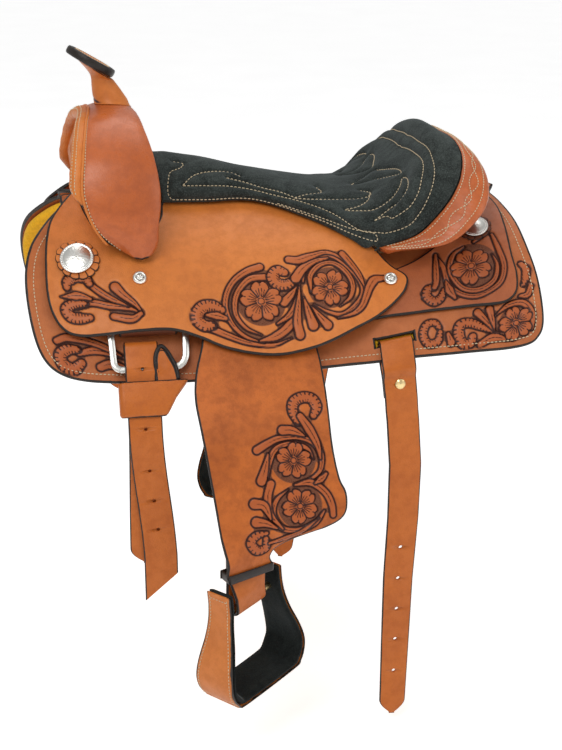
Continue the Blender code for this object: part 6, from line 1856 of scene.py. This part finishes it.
def make_rear_billet(side, name):
    """Rear billet: one strap through the skirt's slot, doubled over the edge, riveted and hanging.

    It bends where the CAD's strap swings: the turn stays on the skirt, the rest hangs.
    """
    reach = SKIRT_T / 2.0 + 1.0 * MM + STRAP_T / 2.0

    def spot(d, off):
        return barrel(BILLET_X, d, off - SKIRT_T / 2.0, side)
    hinge = barrel(BILLET_X, SKIRT_EDGE_D, -SKIRT_T / 2.0, side)
    above, below = (barrel(BILLET_X, SKIRT_EDGE_D + step, 0.0, side) for step in (-MM, MM))
    down = unit(below - above)
    normal = unit(barrel(BILLET_X, SKIRT_EDGE_D, MM, side) - barrel(BILLET_X, SKIRT_EDGE_D, 0.0, side))
    hang = unit(np.array([0.0, -0.06 if side < 0 else -0.03, -1.0]))
    lean, length = (0.0, 0.402) if side < 0 else (0.14, 0.384)
    start = hinge + down * 5.4 * MM
    aft = np.array([1.0, 0.0, 0.0])

    def body(t, share):
        t = np.asarray(t, float)
        thick = np.interp(t, [0.0, 0.007, 0.0125], [reach, reach * 0.76, STRAP_T / 2.0 + 0.1 * MM])
        slant = smooth(t / 0.012)[:, None]
        way = down + (hang - down) * slant
        bow = np.interp(t / MM, [0, 60, 110, 170, 240, 402], [0, 6, 9, 7, 2, -4]) * MM
        bow = bow - lean * np.maximum(t - 0.024, 0.0)
        out = unit(normal + (np.array([0.0, side, 0.06]) - normal) * slant)
        settle = share * (1.0 - smooth((t - 0.033) / 0.02)) if share > 0 else share
        return start + way * t[:, None] + aft * bow[:, None] + out * (thick * settle)[:, None]
    back = body(np.array([0.033, 0.024, 0.016, 0.0125, 0.007, 0.003]), -1.0)
    places = (SKIRT_EDGE_D + 1 * MM, SKIRT_EDGE_D - 5 * MM, SLOT_TURN_D + 8 * MM)
    under = np.stack([spot(d, -reach) for d in places])
    a = np.radians(np.linspace(-90, 90, 13))
    turn = barrel(BILLET_X, SLOT_TURN_D - reach * np.cos(a), reach * np.sin(a) - SKIRT_T / 2.0, side)
    over = np.stack([spot(d, reach) for d in places[::-1]])
    steps = np.concatenate([[0.003, 0.007, 0.0125], np.linspace(0.018, length, 110)])
    front = body(steps, 1.0)
    path = np.concatenate([back, under, turn, over, front])
    path = curve(path, 2.6 * MM)
    fall = lengths(path)[-1] - lengths(path)
    width = BILLET_WIDE * np.interp(fall, [0.0, 0.014, 0.112, 0.182, 0.282], [0.76, 0.82, 0.9, 0.95, 1.0])
    flat = unit(barrel(BILLET_X + MM, 0.2225, 0.0, side) - barrel(BILLET_X - MM, 0.2225, 0.0, side))
    share = smooth((hinge[2] - path[:, 2]) / 0.05)[:, None]
    across = flat + (aft - flat) * share
    obj = strap("Rear_billet_" + name, path, across, width, STRAP_T, finish("Billet Leather"),
                tips=(False, True))
    holes = body(length - np.array([0.052, 0.090, 0.126, 0.162, 0.198]), 0.0)
    rivet = body(np.array([0.019]), 0.0)
    punch(obj, np.concatenate([holes, rivet]), np.array([0.0, side, side * 0.06]), 2.3 * MM)
    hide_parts("rear_billet_" + name, "rear_billet_loop_" + name)
    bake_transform(obj)


def surface_frame(x, d, high, side):
    """Point and outward normal of a leather's outer face."""
    step = 12.0 * MM
    along = barrel(x + step, d, high(x + step, d), side) - barrel(x - step, d, high(x - step, d), side)
    below = barrel(x, d + step, high(x, d + step), side) - barrel(x, d - step, high(x, d - step), side)
    normal = unit(np.cross(along, below))
    return barrel(x, d, high(x, d), side), normal * (1.0 if normal[2] > 0.0 else -1.0)


def concho(name, middle, normal, radius):
    """Domed nickel disc: a beaded rim, an engraved wreath and a small raised flower."""
    profile = np.array([(0.0, 4.0), (0.08, 4.0), (0.16, 3.8), (0.24, 3.75), (0.34, 3.6), (0.44, 3.4),
                        (0.54, 3.1), (0.64, 2.7), (0.72, 2.3), (0.78, 1.9), (0.82, 1.45), (0.86, 1.7),
                        (0.91, 1.95), (0.96, 1.7), (1.0, 1.0), (0.985, 0.3), (0.95, 0.05), (0.0, 0.0)])

    def relief(r, angle):
        share = r / (radius * MM)
        rope = 0.12 * np.sin(angle * 36.0 + share * 14.0) * np.exp(-((share - 0.91) / 0.06) ** 2)
        wreath = -0.12 * np.cos(angle * 10.0 + 6.0 * share) ** 8 * np.exp(-((share - 0.60) / 0.13) ** 2)
        flower = 0.12 * np.cos(angle * 3.0) ** 2 * np.exp(-((share - 0.22) / 0.12) ** 2)
        return 0.0 * r, (rope + wreath + flower) * MM
    points = profile * [radius * MM, MM]
    rings = turned_rings(points, middle, normal, 144, relief)
    angle = full_turn(144)[None]
    share = profile[:, :1]
    cut = np.cos(angle * 10.0 + 6.0 * share) ** 8 * np.exp(-((share - 0.60) / 0.13) ** 2)
    cut = np.maximum(cut, np.exp(-((share - 0.82) / 0.02) ** 2) + 0.0 * angle)
    return lofted(name, rings, finish("Nickel"), attributes={"cut": 0.22 * cut})


def rosette(name, x, d, high, side, radius, lobes, tall=1.0, leather_name="Tan Leather"):
    """Scalloped leather disc: lobes round its rim, cut by lines towards the concho."""
    share = np.array([0.0, 0.3, 0.6, 0.74, 0.80, 0.85, 0.90, 0.95, 0.985, 1.0, 1.0, 0.985])
    rise = np.array([2.5, 2.5, 2.5, 2.4, 2.5, 2.6, 2.55, 2.3, 1.8, 1.2, 0.5, 0.0])
    angle = full_turn(lobes * 14)[None]
    lobe = np.abs(np.cos(lobes * angle / 2.0))
    reach = radius * (1.0 - 0.075 * (1.0 - lobe ** 0.6) * smooth((share[:, None] - 0.5) / 0.4))
    cut = np.exp(-(lobe / 0.22) ** 2) * smooth((share[:, None] - 0.62) / 0.15)
    height = rise[:, None] - 0.8 * cut * (rise[:, None] > 1.0)
    a = x + share[:, None] * reach * np.cos(angle) * MM
    b = d + share[:, None] * reach * np.sin(angle) * MM
    rings = barrel(a, b, high(a, b) + (0.8 + height) * tall * MM, side)
    a, b = a[:1] * 0.0 + x, b[:1] * 0.0 + d
    floor = barrel(a, b, high(a, b) + 0.8 * tall * MM, side)
    rings = np.concatenate([rings, floor])
    edge = np.concatenate([(share >= 0.985).astype(float)[:, None] + 0.0 * angle, 1.0 + 0.0 * angle])
    cut = np.concatenate([cut, 0.0 * angle])
    return lofted(name, rings, finish(leather_name), attributes={"cut": cut, "edge": edge})


def screw(name, middle, normal):
    """Cup washer with a raised ring and the cross slot of its screw."""
    profile = np.array([(0.0, 2.2), (1.2, 2.2), (2.2, 2.15), (3.2, 2.0), (3.5, 1.5), (3.9, 1.4),
                        (4.6, 2.5), (5.4, 2.9), (6.2, 2.5), (6.9, 1.5), (7.4, 0.9), (7.5, 0.5),
                        (7.4, 0.0), (0.0, 0.0)])

    def slots(r, angle):
        cross = np.minimum(np.abs(r * np.sin(angle + 0.5)), np.abs(r * np.cos(angle + 0.5))) / MM
        return 0.0 * r, -1.2 * MM * np.exp(-(cross / 0.55) ** 4) * (r < 3.0 * MM) * (r > 0.05 * MM)
    rings = turned_rings(profile * MM, middle, normal, 64, slots)
    deep = np.array([0.6, 0, 0, 0, 1, 0.9, 0, 0, 0, 0, 0, 0, 0, 0])[:, None]
    return lofted(name, rings, finish("Nickel"), attributes={"cut": deep})


def make_ornaments(side, name):
    """Conchos on their rosettes, and the screws through the jockeys."""
    piece = rosette("Rosette_front_" + name, *FRONT_CONCHO, jockey_high, side, 23.0, 14)
    ride_on(piece, "saddle", ["rosette_front_" + name])
    spot, normal = surface_frame(*FRONT_CONCHO, jockey_high, side)
    piece = concho("Concho_front_" + name, spot + normal * 4.6 * MM, normal, 18.0)
    ride_on(piece, "saddle", ["concho_front_" + name])
    spot, normal = surface_frame(*REAR_CONCHO, rear_high, side)
    piece = rosette("Rosette_rear_" + name, *REAR_CONCHO, rear_high, side, 18.5, 12, 0.4, "Dark Leather")
    ride_on(piece, "saddle", ["concho_rear_" + name])
    piece = concho("Concho_rear_" + name, spot + normal * 2.0 * MM, normal, 15.0)
    ride_on(piece, "saddle", ["concho_rear_" + name])
    for place, x, d, lift in (("front", -0.126, 0.139, 0.6 * MM), ("rear", 0.141, 0.154, 1.6 * MM)):
        spot, normal = surface_frame(x, d, jockey_high, side)
        piece = screw("Screw_%s_%s" % (place, name), spot + normal * lift, normal)
        ride_on(piece, "saddle", ["screw_%s_%s" % (place, name)])


CARRIED = (("ground_seat", "Steel"), ("tree_cantle", "Tree Wood"), ("tree_fork", "Tree Wood"),
           ("cantle_back", "Dark Leather"), ("horn_core", "Steel"), ("tree_bar_near", "Tree Wood"),
           ("tree_bar_off", "Tree Wood"), ("stirrup_bolt_near", "Brass"), ("stirrup_bolt_off", "Brass"),
           ("billet_rivet_near", "Brass"), ("billet_rivet_off", "Brass"), ("off_billet_rivet", "Brass"))


def dress_carried():
    """Finishes for the CAD pieces that are shown as they are."""
    for name, look in CARRIED:
        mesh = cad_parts[name].data
        mesh.materials.clear()
        mesh.materials.append(finish(look))


def make_stage():
    """Plain white floor that keeps the shadow, soft lamps and the camera of the view."""
    tone = bpy.context.scene.saddle_tones
    z = float(CAD_BOX[0][2]) - 0.012
    edge = np.array([(-90, -90, z), (90, -90, z), (90, 90, z), (-90, 90, z)], float)
    made, tree, shader = new_material("Studio Floor")
    cloud = ranged(tree, noise(tree, own_place(tree), 3.0), 0.3, 0.7)
    white = mixed(tree, cloud, (0.93, 0.93, 0.93), (0.95, 0.95, 0.95))
    sight = node(tree, "ShaderNodeLightPath").outputs
    seen = maths(tree, "MAXIMUM", sight["Is Camera Ray"], sight["Is Glossy Ray"])
    shine = maths(tree, "MULTIPLY", seen, 0.62)
    link(tree, white, shader.inputs["Base Color"], white, shader.inputs["Emission Color"],
         shine, shader.inputs["Emission Strength"])
    shader.inputs["Roughness"].default_value = 0.9
    floor = make_object("Studio_floor", edge, [np.array([[0, 1, 2, 3]])], made)
    scene = bpy.context.scene
    world = bpy.data.worlds.new("Studio")
    world.use_nodes = True
    tree = world.node_tree
    back = tree.nodes["Background"]
    sight = node(tree, "ShaderNodeLightPath").outputs
    seen = maths(tree, "MAXIMUM", sight["Is Camera Ray"], sight["Is Transmission Ray"])
    strength = maths(tree, "MULTIPLY_ADD", seen, 1.0 - tone.world_light, tone.world_light)
    link(tree, strength, back.inputs["Strength"])
    back.inputs["Color"].default_value = (1.0, 1.0, 1.0, 1.0)
    scene.world = world
    for label, place, energy, size in (("Key", (-1.2, -2.0, 2.2), tone.key_light, 1.6),
                                       ("Fill", (1.9, -1.6, 1.0), tone.fill_light, 1.8),
                                       ("Top", (0.1, 0.9, 2.4), tone.top_light, 1.6)):
        lamp = bpy.data.lights.new(label, "AREA")
        lamp.energy, lamp.size = energy, size
        obj = bpy.data.objects.new(label, lamp)
        obj.location = place
        obj.rotation_euler = (Vector((0.0, 0.0, -0.1)) - Vector(place)).to_track_quat("-Z", "Y").to_euler()
        scene.collection.objects.link(obj)
    camera = bpy.data.cameras.new("View")
    camera.sensor_fit, camera.sensor_height, camera.lens = "VERTICAL", 36.0, 67.2
    obj = bpy.data.objects.new("View", camera)
    obj.location = (-0.26, -1.55, 0.3177)
    aim = Vector((0.01, -0.20, -0.1223)) - obj.location
    obj.rotation_euler = aim.to_track_quat("-Z", "Y").to_euler()
    scene.collection.objects.link(obj)
    scene.camera = obj
    scene.view_settings.view_transform = "Standard"


# Add-on

def colour_property(name, text, colour):
    """Colour property with a linear default from a display colour."""
    return FloatVectorProperty(name=name, description=text, subtype="COLOR", size=3, min=0.0, max=1.0,
                               default=linear(colour))


class SaddleTones(bpy.types.PropertyGroup):
    """Colours and light of the saddle."""
    tan_colour: colour_property("Tan", "Jockeys, horn and stirrups", (222, 130, 58))
    fender_colour: colour_property("Fender", "Fenders", (206, 110, 44))
    # Rear: the tan darkened as painted shade, for the rear jockeys that lie in shadow behind the seat
    rear_colour: colour_property("Rear", "Rear jockeys", (178, 98, 56))
    skirt_colour: colour_property("Skirt", "Skirts, a little redder", (196, 112, 60))
    swell_colour: colour_property("Swell", "Swell and cantle roll", (204, 106, 52))
    billet_colour: colour_property("Billet", "Latigo and billets", (206, 112, 42))
    dark_colour: colour_property("Brown", "Straps behind the dees and stirrup leathers", (120, 62, 36))
    # Tooled: carved forms, partly the pressed leather's own colour, partly painted shade
    tooled_colour: colour_property("Tooled", "Carved forms", (182, 92, 46))
    # Cut: incised lines and the painted shade round the carving
    cut_colour: colour_property("Cut", "Cut lines", (56, 20, 10))
    ground_colour: colour_property("Ground", "Matted ground behind flowers", (104, 66, 48))
    edge_colour: colour_property("Edge", "Dyed edges and keepers", (34, 27, 24))
    suede_colour: colour_property("Suede", "Seat and stirrup lining", (38, 42, 40))
    lining_colour: colour_property("Lining", "Wool under the skirts", (255, 190, 14))
    thread_colour: colour_property("Thread", "Stitching", (242, 220, 182))
    key_light: FloatProperty(name="Key", description="Main lamp", default=36.0, min=0.0, unit="POWER")
    fill_light: FloatProperty(name="Fill", description="Lamp on the right", default=13.0, min=0.0,
                              unit="POWER")
    top_light: FloatProperty(name="Top", description="Lamp behind", default=16.0, min=0.0, unit="POWER")
    world_light: FloatProperty(name="World", description="Strength of the white surroundings", default=0.42,
                               min=0.0, max=1.0, subtype="FACTOR")


def piece_operator(idname, label, text, make, paired=False):
    """Operator class that builds one group of pieces, on both sides when they are paired."""
    def execute(self, context):
        for values in SIDES if paired else ((),):
            make(*values)
        return {"FINISHED"}
    return type("SADDLE_OT_" + idname, (bpy.types.Operator,), {
        "bl_idname": "saddle." + idname, "bl_label": label, "__doc__": text, "execute": execute})


STEPS = (
    piece_operator("materials", "Materials", "Build every finish", build_materials),
    piece_operator("skirts", "Skirts", "Lay, carve and stitch the skirts", make_skirt, True),
    piece_operator("fleece", "Fleece", "Lay the wool under the skirts", make_fleece, True),
    piece_operator("jockeys", "Seat Jockeys", "Lay and carve the seat jockeys", make_jockey, True),
    piece_operator("rear_jockeys", "Rear Jockeys", "Lay and carve the rear jockeys", make_rear_jockey, True),
    piece_operator("swell", "Swell", "Cover the fork and roll its gullet", make_swell),
    piece_operator("horn", "Horn", "Wrap the horn and cap it", make_horn),
    piece_operator("seat", "Seat", "Quilt the suede seat", make_seat),
    piece_operator("roll", "Cantle Roll", "Pad and stitch the cantle roll", make_roll),
    piece_operator("fenders", "Fenders", "Lay and carve the fenders", make_fender, True),
    piece_operator("leathers", "Stirrup Leathers", "Run the stirrup leathers", make_stirrup_leather, True),
    piece_operator("keepers", "Keepers", "Roll the keepers round the necks", make_keeper, True),
    piece_operator("stirrups", "Stirrups", "Cover, line and stitch the stirrups", make_stirrup, True),
    piece_operator("dees", "Dees", "Bend the dees and their rigging", make_dee, True),
    piece_operator("latigo", "Latigo", "Knot the latigo on its dee", make_latigo),
    piece_operator("off_billet", "Off Billet", "Double the off billet on its dee", make_off_billet),
    piece_operator("rear_billets", "Rear Billets", "Thread and punch the rear billets", make_rear_billet,
                   True),
    piece_operator("ornaments", "Ornaments", "Set conchos, rosettes and screws", make_ornaments, True),
    piece_operator("carried", "Tree and Rivets", "Finish the CAD pieces that stay", dress_carried),
    piece_operator("stage", "Stage", "Floor, lamps and camera", make_stage))


class SADDLE_PT_panel(bpy.types.Panel):
    """Sidebar panel with the saddle's colours and its steps."""
    bl_label = "Western Pony Saddle"
    bl_idname = "SADDLE_PT_panel"
    bl_space_type = "VIEW_3D"
    bl_region_type = "UI"
    bl_category = "Saddle"

    def draw(self, context):
        for key in SaddleTones.__annotations__:
            self.layout.prop(context.scene.saddle_tones, key)
        for step in STEPS:
            self.layout.operator(step.bl_idname)


CLASSES = (SaddleTones,) + STEPS + (SADDLE_PT_panel,)


def register():
    """Register the classes and the scene's settings."""
    for item in CLASSES:
        bpy.utils.register_class(item)
    bpy.types.Scene.saddle_tones = PointerProperty(type=SaddleTones)


def unregister():
    """Take the settings and the classes away again."""
    del bpy.types.Scene.saddle_tones
    for item in reversed(CLASSES):
        bpy.utils.unregister_class(item)


def main():
    """Build the saddle step by step and write its size beside the CAD model's."""
    register()
    for step in STEPS:
        group, name = step.bl_idname.split(".")
        getattr(getattr(bpy.ops, group), name)()


if __name__ == "__main__":
    main()
